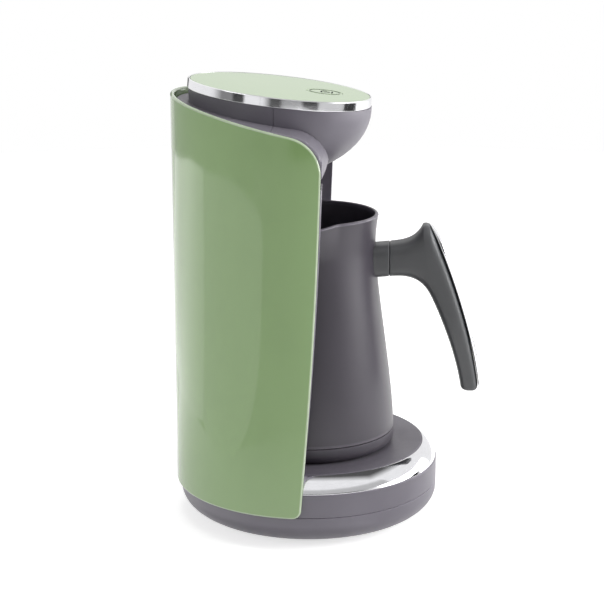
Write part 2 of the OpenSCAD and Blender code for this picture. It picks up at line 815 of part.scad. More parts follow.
// Bosses for the screws that draw the rear shell to the front shell
module column_bosses() {
    for (x = [-1, 1], z = column_screw_zs)
        intersection() {
            translate([x * column_screw_x, 0, z])
                rotate([-90, 0, 0]) cylinder(r = column_boss_r, h = boss_end_y(), $fn = 48);
            crescent(column_r, niche_r, ring_foot_z, ceiling_z);
        }
}
function boss_end_y() = sqrt(pow(base_r, 2) - pow(column_screw_x, 2)) - 6.4;

module rear_shell() {
    color(grey)
    difference() {
        union() {
            intersection() {
                difference() {
                    translate([0, 0, ring_foot_z + 0.1]) cylinder(r = base_r, h = ceiling_z - ring_foot_z - 0.2);
                    cylinder(r = base_r - wall, h = far * 2);
                }
                side_prism(housing_side());
            }
            difference() {
                intersection() {
                    union() {
                        head_block(0, ceiling_z - over);
                        bowl(0, ceiling_z);
                    }
                    behind(split_y + seam_gap / 2);
                }
                union() {
                    head_block(wall, ceiling_z - 2 * over);
                    bowl(wall, ceiling_z - 2 * over);
                }
                above_head();
            }
            intersection() {
                for (x = [-1, 1], z = column_screw_zs)
                    translate([x * column_screw_x, boss_end_y() + 0.2, z])
                        rotate([-90, 0, 0]) cylinder(r = screw_head_r + 1.8, h = 12, $fn = 48);
                cylinder(r = base_r - 0.5, h = far);
            }
        }
        for (x = [-1, 1], z = column_screw_zs)
            translate([x * column_screw_x, boss_end_y(), z]) rotate([-90, 0, 0]) {
                cylinder(r = screw_r + screw_gap, h = 20, $fn = 32);
                translate([0, 0, 2.4]) cylinder(r = screw_head_r + 0.3, h = 20, $fn = 48);
            }
        panel_pegs(base_r - wall - over, base_r + over, peg_r + 0.1);
    }
}

module cover_panel() {
    color(sage)
    union() {
        intersection() {
            difference() {
                cylinder(r = panel_r, h = far * 2);
                translate([0, 0, -over]) cylinder(r = panel_in_r, h = far * 3);
            }
            side_prism(column_side(0, rim_z, rim_slope, edge_foot_z, shoulder_r, foot_corner_r));
        }
        panel_pegs(base_r - wall + 0.3, panel_in_r + 0.4, peg_r);
    }
}

// Pegs on the inside of the cover panel, or their holes in the rear shell
module panel_pegs(r0, r1, r) {
    for (a = [30, 72, 108, 150], z = [column_screw_zs[0] - 22, column_screw_zs[1] + 22])
        rotate(a) translate([r0, 0, z]) rotate([0, 90, 0]) cylinder(r = r, h = r1 - r0, $fn = 32);
}

module column_screws() {
    color(steel) {
        for (x = [-1, 1], z = column_screw_zs)
            translate([x * column_screw_x, boss_end_y() + 2.4, z])
                rotate([90, 0, 0]) screw(screw_r, 12, screw_head_r, screw_head_h);
        foot_boss_places()
            translate([0, 0, ring_foot_z - wall]) screw(screw_r, foot_screw_l, screw_head_r, screw_head_h);
    }
}

// Flat cable from the control board, down the column and forward to the power board
module ribbon_cable() {
    t = 1.2;
    top = head_z - control_drop;
    route = [[head_y + control_r - 7, top - 0.5], [head_y + control_r, top - 5], [ribbon_y, top - 15],
             [ribbon_y, ribbon_z + 6], [ribbon_y - 6, ribbon_z], [terminal_y + 11, ribbon_z],
             [terminal_y + 5, power_top + 6.4], [terminal_y, power_top + 5.6]];
    color([0.75, 0.75, 0.78])
    translate([-ribbon_w / 2, 0, 0])
        rotate([90, 0, 90])
            linear_extrude(ribbon_w)
                polygon(concat(beside(route, t / 2), flip(beside(route, -t / 2))));
}

// Line at distance t beside a line of points, with mitred corners
function across(p, q) = let (d = q - p) [-d[1], d[0]] / norm(d);
function beside(line, t) =
    let (last = len(line) - 1)
    [for (i = [0 : last])
        let (a = across(line[max(i - 1, 0)], line[max(i, 1)]),
             b = across(line[min(i, last - 1)], line[min(i + 1, last)]), m = a + b)
        line[i] + 2 * t * m / (m * m)];

module head_ring() {
    band_r = head_ring_r - head_ring_t;
    color(chrome)
    head_frame()
        rotate_extrude($fn = 128)
            polygon([[band_r, 0], [head_ring_r - 0.3, 0], [head_ring_r, -0.3],
                     [head_ring_r, -head_ring_h + 0.3], [head_ring_r - 0.3, -head_ring_h],
                     [flange_in_r, -head_ring_h], [flange_in_r, -head_ring_h + flange_t],
                     [band_r, -head_ring_h + flange_t]]);
}

module control_plate() {
    skirt_end = -head_ring_h + flange_t;
    color(sage_top)
    head_frame()
        difference() {
            union() {
                rotate_extrude($fn = 128)
                    polygon([[0, -plate_sink], [plate_r - 0.4, -plate_sink], [plate_r, -plate_sink - 0.4],
                             [plate_r, skirt_end], [plate_r - skirt_t, skirt_end],
                             [plate_r - skirt_t, -plate_under], [0, -plate_under]]);
                around(3, control_post_r, 90)
                    translate([0, 0, -control_drop]) cylinder(r = 3, h = control_drop - plate_sink - 1, $fn = 32);
            }
            translate([0, -key_y, -far / 2]) cylinder(r = key_r + key_gap, h = far);
            around(3, control_post_r, 90)
                translate([0, 0, -control_drop - over]) cylinder(r = 1.1, h = 5 + over, $fn = 24);
        }
}

module start_key() {
    color(sage_top)
    head_frame()
        translate([0, -key_y, 0])
            rotate_extrude($fn = 96)
                polygon([[0, -plate_sink], [key_r - 0.4, -plate_sink], [key_r, -plate_sink - 0.4],
                         [key_r, -plate_under - key_flange_gap], [key_flange_r, -plate_under - key_flange_gap],
                         [key_flange_r, -plate_under - key_flange_gap - key_flange_t],
                         [key_stem_r, -plate_under - key_flange_gap - key_flange_t],
                         [key_stem_r, -stem_end], [0, -stem_end]]);
}

module switch_plunger() {
    color(white)
    head_frame()
        translate([0, -key_y, -switch_top - 0.9]) cylinder(r = plunger_r, h = switch_top + 0.9 - stem_end, $fn = 32);
}

module tact_switch() {
    color(black)
    head_frame()
        translate([0, -key_y, -control_drop])
            difference() {
                translate([-switch_w / 2, -switch_w / 2, 0]) cube([switch_w, switch_w, switch_h]);
                translate([0, 0, switch_h - key_travel - 1.2]) cylinder(r = plunger_r + 0.1, h = far, $fn = 32);
            }
}

module control_board() {
    color(board_green)
    head_frame()
        translate([0, 0, -control_drop - board_t])
            difference() {
                cylinder(r = control_r, h = board_t);
                around(3, control_post_r, 90)
                    translate([0, 0, -over]) cylinder(r = 1.2, h = board_t + 2 * over, $fn = 24);
            }
}

module board_screws() {
    color(steel)
    head_frame()
        around(3, control_post_r, 90)
            translate([0, 0, -control_drop - board_t]) screw(1, board_t + 4, 2.2, 1.2);
}

// Chips and the cable's plug on the control board: [x, y] of the centre and size
control_parts = [[[-12, 7], [10, 10, 1.4]], [[-11, -5.5], [6, 5, 1.4]],
                 [[10, -5.5], [8, 5, 1.6]], [[0, control_r - 13], [12, 6, 5]]];

module control_chips() {
    color([0.12, 0.12, 0.13])
    head_frame()
        for (p = control_parts)
            translate([p[0][0] - p[1][0] / 2, p[0][1] - p[1][1] / 2, -control_drop]) cube(p[1]);
}

// One light on each side of the key's switch
module status_leds() {
    s = 3.2;
    color(white)
    head_frame()
        for (x = [-1, 1])
            translate([x * (switch_w / 2 + 3.9) - s / 2, -key_y - s / 2, -control_drop]) cube([s, s, 2]);
}

module buzzer() {
    color(black)
    head_frame()
        translate([control_r / 2, 6, -control_drop])
            difference() {
                cylinder(r = 6, h = 5, $fn = 48);
                translate([0, 0, 4]) cylinder(r = 1, h = 3, $fn = 24);
            }
}

module sensor_window() {
    z = ceiling_z + wall;
    color([0.15, 0.05, 0.08])
    translate([0, window_y, 0])
        rotate_extrude($fn = 64)
            polygon([[0, ceiling_z], [window_r, ceiling_z], [window_r, z], [window_flange[0], z],
                     [window_flange[0], z + window_flange[1]], [0, z + window_flange[1]]]);
}

// Board on the posts over the window, with the sensor's tube down to the window
module sensor_board() {
    tube_z = ceiling_z + wall + window_flange[1];
    board_w = 2 * sensor_post_x + 5;
    color(board_green)
    difference() {
        union() {
            translate([-board_w / 2, window_y - 6, sensor_z]) cube([board_w, 12, 1.2]);
            translate([0, window_y, tube_z]) cylinder(r = window_r / 2, h = sensor_z - tube_z + 0.5, $fn = 32);
        }
        sensor_posts(sensor_z - over, sensor_z + 2, 0.8);
    }
}

// ---- Pot, drawn from its own foot ----

function pot_wave(a) =
    let (off = abs(a - 180)) off >= spout_angle ? 0 : pow(0.5 + 0.5 * cos(180 * off / spout_angle), 0.85);
function spout_at(z) = pow(smooth((z - (pot_h - spout_drop)) / spout_drop), 1.3);
function pot_ring(r, z, n = 60) =
    [for (i = [0 : n - 1]) let (a = 360 * i / n, s = pot_wave(a) * spout_at(z))
        [(r + spout_reach * s) * cos(a), (r + spout_reach * s) * sin(a),
         z - spout_dip * s * smooth((z - pot_h + 6) / 6)]];

// Outer profile of the vessel from its skirt to the rim, as points [r, z]
function pot_profile(n1 = 9, n2 = 4) =
    concat(curve([[skirt_r, skirt_z], [pot_foot_r - 1, skirt_z + 29], [waist_r + 1.3, waist_h - 27],
                  [waist_r, waist_h]], n1),
           [for (i = [1 : n2]) let (t = i / n2) [waist_r + (rim_r - waist_r) * t * t, waist_h + (pot_h - waist_h) * t]]);

module pot_vessel() {
    outer = pot_profile();
    last = len(outer) - 1;
    inner = [for (p = outer) if (p[1] > inner_floor_h + 5) [p[0] - pot_wall, p[1]]];
    color(grey)
    translate([0, 0, pot_z])
        skin(concat(
            [pot_ring(skirt_r - pot_wall - 1.2, floor_h), pot_ring(skirt_r - pot_wall, skirt_z + 2), pot_ring(skirt_r - pot_wall, skirt_z)],
            [for (p = outer) pot_ring(p[0], p[1] == pot_h ? pot_h - 0.5 : p[1])],
            [pot_ring(rim_r - pot_wall / 2, pot_h), pot_ring(rim_r - pot_wall, pot_h - 0.5)],
            [for (i = [len(inner) - 2 : -1 : 0]) pot_ring(inner[i][0], inner[i][1])],
            [pot_ring(skirt_r - pot_wall - 2.5, inner_floor_h + 2), pot_ring(skirt_r - pot_wall - 5, inner_floor_h)]));
}

module pot_base_cap() {
    tongue_in_r = cap_tongue_r - cap_tongue_t;
    color(grey)
    translate([0, 0, pot_z])
        difference() {
            union() {
                rotate_extrude()
                    polygon(concat([[socket_r + 0.1, 0]],
                        arc([pot_foot_r - cap_edge_r, cap_edge_r], cap_edge_r, 270, 360, 6),
                        [[pot_foot_r, cap_h - 0.2], [pot_foot_r - 0.3, cap_h], [cap_tongue_r, cap_h],
                         [cap_tongue_r, cap_h + 3], [tongue_in_r, cap_h + 3], [tongue_in_r, cap_edge_r],
                         [pot_foot_r - cap_edge_r - 2, cap_floor_t], [socket_r + 0.1, cap_floor_t]]));
                pot_lugs(0, socket_top - 0.1, lug_r);
            }
            pot_lugs(-over, lug_seat, screw_head_r + 0.3);
            pot_lugs(-over, far, screw_r + screw_gap);
        }
}

module pot_lugs(z0, z1, r) {
    for (a = lug_angles)
        rotate(a) translate([lug_ring_r, 0, z0]) cylinder(r = r, h = z1 - z0, $fn = 32);
}

module base_seal() {
    seal_r = skirt_r - pot_wall;
    color(rubber)
    translate([0, 0, pot_z + cap_h])
        rotate_extrude()
            polygon([[seal_r - 1.2, 0.05], [seal_r - 0.1, 0.05], [seal_r - 0.1, 1.6], [seal_r - 1.2, 1.9]]);
}

module pot_socket() {
    color(black)
    translate([0, 0, pot_z])
        rotate_extrude()
            polygon([[socket_in_r, 0.3], [socket_r, 0.3], [socket_r, socket_top - 2],
                     [socket_r - 2, socket_top], [pin_r + 0.4, socket_top], [pin_r + 0.4, socket_roof],
                     [socket_in_r - 3, socket_roof], [socket_in_r, socket_roof - 2.5]]);
}

module socket_contacts() {
    color(brass)
    translate([0, 0, pot_z]) {
        translate([0, 0, dome_h - 5]) cylinder(r = pin_r, h = socket_top - dome_h + 5, $fn = 48);
        translate([0, 0, socket_roof + 0.5]) cylinder(r = pin_r + 0.4, h = socket_top - socket_roof - 0.5, $fn = 48);
        for (r = [live_ring_r, earth_ring_r])
            translate([0, 0, dome_h - 3.5]) hoop(r, blade_t, socket_roof - dome_h + 3.5);
    }
}

module heater_plate() {
    color(steel)
    translate([0, 0, pot_z])
        difference() {
            union() {
                translate([0, 0, socket_top]) cylinder(r = heater_r, h = heater_t);
                pot_lugs(socket_top, floor_h, lug_r);
                for (a = lug_angles)
                    rotate(a) translate([heater_r - 4, -lug_r, socket_top]) cube([lug_ring_r - heater_r + 4, 2 * lug_r, heater_t]);
            }
            pot_lugs(socket_top - over, floor_h - 0.4, screw_r + screw_gap);
            translate([0, 0, socket_top - over]) cylinder(r = 4, h = heater_t + 2 * over, $fn = 48);
        }
}

// Tip of the element's terminal on one side
function element_tip(s) =
    element_r * [s * sin(element_gap_a), -cos(element_gap_a)]
    + element_pin * [-s * cos(element_gap_a), -sin(element_gap_a)];

module heating_element() {
    color([0.35, 0.33, 0.30])
    translate([0, 0, pot_z + socket_top - element_tube_r]) {
        rotate(270 + element_gap_a)
            rotate_extrude(angle = 360 - 2 * element_gap_a)
                translate([element_r, 0]) circle(r = element_tube_r, $fn = 32);
        for (s = [-1, 1])
            rotate(270 + s * element_gap_a) translate([element_r, 0, 0])
                rotate([s * 90, 0, 0]) cylinder(r = 1.2, h = element_pin, $fn = 24);
    }
}

module temperature_sensor() {
    color(white)
    translate([0, 0, pot_z + socket_top])
        rotate_extrude($fn = 48) polygon([[0, 0], [3.8, 0], [3.8, 1.2], [2.6, 1.2], [2.6, heater_t], [0, heater_t]]);
}

module thermal_cutout() {
    color(white)
    translate([-5.5, -element_r - 3, pot_z + socket_top - 4]) cube([11, 6, 4]);
}

module element_leads() {
    z = pot_z + socket_top - element_tube_r;
    end = element_tip(1);
    x = end[0] - 2.65;
    wall_y = sqrt(socket_r * socket_r - x * x);
    color([0.85, 0.85, 0.80])
    for (s = [-1, 1])
        wire([[s * (end[0] - 0.05), end[1] - 0.03, z], [s * (end[0] - 1.2), end[1] - 0.6, z],
              [s * (x + 0.5), end[1] + 0.4, z], [s * x, (end[1] - wall_y) / 2, z],
              [s * x, -wall_y - 0.6, z]], 0.8);
}

module pot_screws() {
    color(steel)
    translate([0, 0, pot_z])
        for (a = lug_angles)
            rotate(a) translate([lug_ring_r, 0, lug_seat])
                screw(screw_r, floor_h - lug_seat - 0.8, screw_head_r, screw_head_h);
}

// ---- Handle, in side view as points [distance from the axis, height] ----

// Edge of the handle over the stub, its tip and its outer face, and under the stub
seam_y = boss_y + seam_gap / 2;
tenon_l = 3;
tenon_inset = 2.5;
stub_top = stub_h + stub_t / 2 - 0.4;
stub_under = stub_h - stub_t / 2;
tip = [waist_r + tip_reach, pot_h - tip_drop];
tip_back = tip - [3.8, -0.4];
grip_end = [waist_r + end_reach, grip_end_h];
grip_outer = [tip, tip + [8.8, -17], grip_end + [-4.5, 34], grip_end];
grip_under = [tip[0] + 0.8, stub_under - 10.5];
screw_seat_y = reach_at(grip_outer, handle_screw_h) - 4;
handle_over = concat(curve([[seam_y, stub_top], [seam_y + 7, stub_top + 0.7],
                            [tip_back[0] - 4, stub_top + 1.4], tip_back], 6),
                     curve(grip_outer, 7));
handle_under = concat(curve([[seam_y, stub_under], [seam_y + 8, stub_under + 0.8],
                             [grip_under[0] - 6, stub_under + 1.1], grip_under], 6),
                      [for (i = [1 : 8]) on_curve([grip_under, grip_under + [6, -12],
                                                   grip_end + [-grip_t - 3, 20], grip_end - [grip_t, 0]], i / 8)]);

// Rounded section between two points of the side view, w wide
function section(p, q, w, n = 20, power = 0.55) =
    [for (i = [0 : n - 1]) let (a = 360 * i / n, c = (p + q) / 2, h = (q - p) / 2,
        u = sign(cos(a)) * pow(abs(cos(a)), power), v = sign(sin(a)) * pow(abs(sin(a)), power),
        s = c + h * u)
        [w / 2 * v, -s[0], s[1]]];

// Section of the stub at a distance from the axis, smaller by trim all round
function stub_ring(y, trim = 0) =
    let (rise = (y - boss_y) * stub_rise)
    section([y, stub_h - stub_t / 2 + rise + trim], [y, stub_h + stub_t / 2 - 0.4 + rise - trim], boss_w - 2 * trim, 24);

module handle_boss() {
    color(dark_grey)
    translate([0, 0, pot_z])
        difference() {
            skin(concat([for (i = [0 : 4]) stub_ring(waist_r - 3 + (boss_y - seam_gap / 2 - waist_r + 3) * i / 4)],
                        [stub_ring(boss_y - seam_gap / 2, tenon_inset - 0.1),
                         stub_ring(boss_y - tenon_l - 0.2, tenon_inset - 0.1)]));
            rotate_extrude()
                polygon(concat([[0, stub_h - 40]], [for (p = pot_profile()) if (p[1] > stub_h - 40) [p[0] + 0.05, p[1]]],
                               [[0, pot_h]]));
            handle_bore();
        }
}

module handle_bore() {
    translate([0, -waist_r + 5, handle_screw_h])
        rotate([90, 0, 0]) cylinder(r = handle_screw_r + screw_gap, h = 60, $fn = 32);
}

// Width of the handle along its length: the stub, the tip and the grip
function handle_w(i) = i <= 6 ? boss_w + (grip_w - boss_w) * i / 6 : grip_w * (1 - 0.12 * smooth((i - 10) / 4));

module handle_grip() {
    color(dark_grey)
    translate([0, 0, pot_z])
        difference() {
            skin(concat([stub_ring(boss_y - tenon_l, tenon_inset), stub_ring(seam_y, tenon_inset)],
                        [for (i = [0 : 14]) section(handle_under[i], handle_over[i], handle_w(i), 24)]));
            handle_bore();
            translate([0, -screw_seat_y, handle_screw_h])
                rotate([90, 0, 0]) cylinder(r = handle_screw_head_r + 0.3, h = 20, $fn = 48);
        }
}

module handle_strip() {
    n = 16;
    color(chrome)
    translate([0, 0, pot_z])
        skin([for (i = [0 : n]) let (t = i / n, p = on_curve(grip_outer, t),
            d = on_curve(grip_outer, min(1, t + 0.02)) - on_curve(grip_outer, max(0, t - 0.02)),
            out = [-d[1], d[0]] / norm(d),
            rise = strip_t * (0.45 + 0.55 * smooth(t * 6)) * (1 - 0.4 * smooth(t * 5 - 4)))
            section(p + out * 0.15, p + out * rise, strip_w * (0.66 + 0.34 * smooth(t * 4)), 16, 0.5)]);
}

module handle_screw() {
    color(steel)
    translate([0, -screw_seat_y, pot_z + handle_screw_h])
        rotate([-90, 0, 0]) screw(handle_screw_r, screw_seat_y - waist_r - 3, handle_screw_head_r, 2.2);
}

base_pan();
base_shell();
base_trim_ring();
rubber_feet();
base_screws();
cord_gland();
power_board();
relay();
transformer();
filter_capacitor();
terminal_block();
connector_body();
connector_contacts();
connector_screws();
connector_leads();
front_shell();
rear_shell();
cover_panel();
column_screws();
ribbon_cable();
head_ring();
control_plate();
start_key();
switch_plunger();
tact_switch();
control_board();
board_screws();
control_chips();
status_leds();
buzzer();
sensor_window();
sensor_board();
pot_vessel();
pot_base_cap();
base_seal();
pot_socket();
socket_contacts();
heater_plate();
heating_element();
temperature_sensor();
thermal_cutout();
element_leads();
pot_screws();
handle_boss();
handle_grip();
handle_strip();
handle_screw();
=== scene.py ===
"""Electric Turkish coffee maker: finishes, moulded pieces, screws, studio and camera.

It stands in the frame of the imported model. Pieces are worked out in millimetres and stored in metres.
"""
import json
import math

import bmesh
import bpy
from mathutils import Matrix, Vector


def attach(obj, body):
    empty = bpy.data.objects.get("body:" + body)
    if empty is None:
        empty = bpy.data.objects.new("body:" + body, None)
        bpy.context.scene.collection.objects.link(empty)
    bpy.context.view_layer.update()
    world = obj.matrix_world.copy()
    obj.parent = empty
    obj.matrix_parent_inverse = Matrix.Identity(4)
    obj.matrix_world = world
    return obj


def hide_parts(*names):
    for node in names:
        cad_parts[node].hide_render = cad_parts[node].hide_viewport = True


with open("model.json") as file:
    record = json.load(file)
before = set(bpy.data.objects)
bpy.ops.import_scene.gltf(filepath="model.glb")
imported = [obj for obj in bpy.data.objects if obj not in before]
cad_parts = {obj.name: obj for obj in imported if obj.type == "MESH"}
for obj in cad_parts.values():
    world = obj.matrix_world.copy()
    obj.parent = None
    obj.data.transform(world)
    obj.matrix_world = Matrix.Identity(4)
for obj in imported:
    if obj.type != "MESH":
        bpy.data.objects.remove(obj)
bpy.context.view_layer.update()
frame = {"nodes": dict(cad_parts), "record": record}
NODES = frame["nodes"]
BODY = {n: b for b, members in frame["record"]["behaviour"]["bodies"].items() for n in members}
MM = 0.001

# Sizes in millimetres, as in the source of the model
TRAY_R, TRAY_Z = 65.0, 40.8
TRIM_R, TRIM_FOOT_Z = 72.6, 32.0
PANEL_R, PANEL_IN_R, PANEL_FOOT_Z = 75.6, 73.3, 19.15
RIM_Z, RIM_SLOPE = 223.0, math.radians(11.9)
DECK_SLOPE = math.radians(9.1)
HEAD_Y, HEAD_Z, HEAD_TILT = 15.8, 241.2, math.radians(6.3)
HEAD_RING_R, HEAD_RING_IN_R, HEAD_RING_H = 50.5, 49.5, 5.2
PLATE_TOP, PLATE_UNDER, SKIRT_END, SKIRT_IN_R = -0.15, -2.15, -4.2, 47.45
BOARD_SEAT_Z, BOARD_SCREW_R = -10.6, 34.0
KEY_Y, KEY_R, KEY_GAP = 24.5, 9.8, 0.25
POT_Z, POT_H, POT_WALL = 40.2, 131.5, 2.2
FOOT_R, FOOT_H, WAIST_R, WAIST_H, RIM_R = 48.35, 9.0, 37.0, 112.0, 38.6
SPOUT_REACH, SPOUT_DROP, SPOUT_HALF = 9.0, 22.0, 30.0
SPOUT_DIP, DIP_DROP = 1.0, 6.0  # how far the lip dips, and the height below the rim over which it does
BOSS_Y, STUB_H, STUB_T, BOSS_W = 45.0, 106.0, 19.0, 20.0
STUB_RISE = math.radians(5.7)
GRIP_W, GRIP_T, STRIP_W = 22.0, 10.0, 17.0
FEET_R = 46.0
SAME_PLACE = 1e-7  # metres between points that are one


# ---- Plain helpers ----

def smooth(t):
    u = min(max(t, 0.0), 1.0)
    return u * u * (3 - 2 * u)


def cubic(p, t):
    u = 1 - t
    return [u ** 3 * a + 3 * t * u ** 2 * b + 3 * t * t * u * c + t ** 3 * d for a, b, c, d in zip(*p)]


def reach(p):
    """Distance of a point from the upright axis."""
    return math.hypot(p[0], p[1])


def placed(name, data):
    """Object of the scene that shows a mesh, a lamp or a camera."""
    made = bpy.data.objects.new(name, data)
    bpy.context.scene.collection.objects.link(made)
    return made


def settled(holder):
    """Plain mesh of an object after its modifiers. The object goes."""
    made = bpy.data.meshes.new_from_object(holder.evaluated_get(bpy.context.evaluated_depsgraph_get()))
    bpy.data.objects.remove(holder)
    return made


def mesh_of(name, bm):
    made = bpy.data.meshes.new(name)
    bm.to_mesh(made)
    bm.free()
    return made


# ---- Node helpers ----

def feed(tree, socket, value):
    """Links a socket to a value that is a socket, and sets it to any other."""
    if isinstance(value, bpy.types.NodeSocket):
        tree.links.new(value, socket)
    else:
        socket.default_value = value


def node(tree, kind, inputs=None, **settings):
    """Adds a node with its settings and its inputs."""
    made = tree.nodes.new(kind)
    for key, value in settings.items():
        setattr(made, key, value)
    for key, value in (inputs or {}).items():
        feed(tree, made.inputs[key], value)
    return made


def maths(tree, operation, a, b=0.0, clamp=False):
    return node(tree, "ShaderNodeMath", {0: a, 1: b}, operation=operation, use_clamp=clamp).outputs[0]


def plus(tree, a, b, clamp=False):
    return maths(tree, "ADD", a, b, clamp)


def times(tree, a, b, clamp=False):
    return maths(tree, "MULTIPLY", a, b, clamp)


def spread(tree, value, low, high, to_low=0.0, to_high=1.0):
    """Maps a value from one range to another, and holds it there."""
    return node(tree, "ShaderNodeMapRange", {"Value": value, "From Min": low, "From Max": high,
                                             "To Min": to_low, "To Max": to_high}).outputs["Result"]


def stripes(tree, value, pitch):
    """Rounded stripes along a value, one to each pitch."""
    return maths(tree, "ABSOLUTE", maths(tree, "SINE", times(tree, value, math.pi / pitch)))


def split(tree, vector):
    return node(tree, "ShaderNodeSeparateXYZ", {0: vector}).outputs


def noise(tree, place, scale, detail, roughness=0.5, distortion=0.0):
    return node(tree, "ShaderNodeTexNoise", {"Vector": place, "Scale": scale, "Detail": detail,
                                             "Roughness": roughness, "Distortion": distortion}).outputs[0]


def blend_colour(tree, amount, a, b):
    return node(tree, "ShaderNodeMix", {0: amount, 6: a, 7: b}, data_type="RGBA").outputs[2]


def group(name, ins, outs, tree_kind="ShaderNodeTree"):
    """Starts a node group with named inputs (label, kind, value) and outputs (label, kind)."""
    made = bpy.data.node_groups.new(name, tree_kind)
    for label, kind, value in ins:
        socket = made.interface.new_socket(label, in_out="INPUT", socket_type="NodeSocket" + kind)
        if value is not None:
            socket.default_value = value
    for label, kind in outs:
        made.interface.new_socket(label, in_out="OUTPUT", socket_type="NodeSocket" + kind)
    return made, made.nodes.new("NodeGroupInput").outputs, made.nodes.new("NodeGroupOutput").inputs


def use(tree, made, **inputs):
    """Places a shader group in a material. An underscore stands for the space in an input's name."""
    named = {key.replace("_", " "): value for key, value in inputs.items()}
    return node(tree, "ShaderNodeGroup", named, node_tree=made).outputs


def rgba(colour, share=1.0, lift=0.0):
    """Linear colour of a share of a screen colour, 0 to 255, lifted a little."""
    shown = [min(c * share + lift, 255.0) for c in colour]
    return tuple(c / 255 / 12.92 if c <= 10 else ((c / 255 + 0.055) / 1.055) ** 2.4 for c in shown) + (1.0,)


# ---- Shared effects ----

PLACE = ("Vector", "Vector", None)


def moulded_grain_group():
    """Fine spark-eroded grain of a moulding, and the slow unevenness of its colour and gloss."""
    g, i, o = group("moulded_grain", [PLACE, ("Grain Size", "Float", 0.0004), ("Patch Size", "Float", 0.03)],
                    [("Grain", "Float"), ("Patch", "Float")])
    fine = noise(g, i["Vector"], maths(g, "DIVIDE", 1.0, i["Grain Size"]), 2.0, 0.55)
    slow = noise(g, i["Vector"], maths(g, "DIVIDE", 1.0, i["Patch Size"]), 3.0, distortion=0.4)
    g.links.new(fine, o["Grain"])
    g.links.new(slow, o["Patch"])
    return g


def polish_and_highlight_group():
    """Edges made lighter, read from the piece's own edge attribute: polish from hands and cloths, and on the
    cover panel a painted highlight where its rounded edge catches the light.
    """
    g, i, o = group("edge_wear", [PLACE, ("Colour", "Color", None), ("Worn Colour", "Color", None),
                                  ("Amount", "Float", 0.5)], [("Colour", "Color"), ("Wear", "Float")])
    edge = node(g, "ShaderNodeAttribute", attribute_name="edge").outputs["Fac"]
    uneven = spread(g, noise(g, i["Vector"], 220.0, 4.0), 0.3, 0.65, 0.7, 1.0)
    # Mask of the lighter edges: polish on most pieces, a painted highlight on the cover panel.
    polish_and_highlight_level = times(g, times(g, edge, uneven), i["Amount"], True)
    g.links.new(blend_colour(g, polish_and_highlight_level, i["Colour"], i["Worn Colour"]), o["Colour"])
    g.links.new(polish_and_highlight_level, o["Wear"])
    return g


def dust_group():
    """Thin dust that settles on faces that look up."""
    g, i, o = group("dust", [PLACE, ("Amount", "Float", 0.1)], [("Dust", "Float")])
    up = split(g, node(g, "ShaderNodeNewGeometry").outputs["Normal"])["Z"]
    specks = spread(g, noise(g, i["Vector"], 900.0, 3.0), 0.45, 0.75, 0.25, 1.0)
    g.links.new(times(g, times(g, spread(g, up, 0.55, 1.0), specks), i["Amount"], True), o["Dust"])
    return g


def wiping_group():
    """Faint marks of wiping and handling, longer one way than the other."""
    g, i, o = group("wiping", [PLACE, ("Stretch", "Vector", (1.0, 1.0, 1.0)), ("Size", "Float", 0.01)],
                    [("Marks", "Float")])
    ways = {0: i["Vector"], 1: i["Stretch"]}
    pulled = node(g, "ShaderNodeVectorMath", ways, operation="MULTIPLY").outputs[0]
    marks = noise(g, pulled, maths(g, "DIVIDE", 1.0, i["Size"]), 6.0, 0.65, 0.6)
    g.links.new(spread(g, marks, 0.35, 0.7), o["Marks"])
    return g


GRAIN, POLISH_AND_HIGHLIGHT, DUST, WIPING = moulded_grain_group(), polish_and_highlight_group(), dust_group(), wiping_group()


# ---- Materials ----

def empty_tree(owner):
    """Cleared node tree of a new material or world."""
    owner.use_nodes = True
    owner.node_tree.nodes.clear()
    return owner.node_tree


def end_tree(tree, shader, kind="ShaderNodeOutputMaterial"):
    tree.links.new(shader.outputs[0], tree.nodes.new(kind).inputs[0])


def new_material(name, metallic=0.0):
    made = bpy.data.materials.new(name)
    tree = empty_tree(made)
    shader = tree.nodes.new("ShaderNodeBsdfPrincipled")
    shader.inputs["Metallic"].default_value = metallic
    end_tree(tree, shader)
    return made, tree, shader, tree.nodes.new("ShaderNodeTexCoord").outputs["Object"]


def polished_and_highlit_edges(tree, place, colour, polish_and_highlight_colour, amount):
    """Colour with its edges lighter, and the mask of that: polish on most pieces, a painted highlight on the
    cover panel.
    """
    return use(tree, POLISH_AND_HIGHLIGHT, Vector=place, Colour=colour, Worn_Colour=rgba(polish_and_highlight_colour), Amount=amount)


def join(tree, shader, colour, roughness, height, strength, depth):
    feed(tree, shader.inputs["Base Color"], colour)
    feed(tree, shader.inputs["Roughness"], roughness)
    bump = node(tree, "ShaderNodeBump", {"Strength": strength, "Distance": depth, "Height": height})
    tree.links.new(bump.outputs[0], shader.inputs["Normal"])


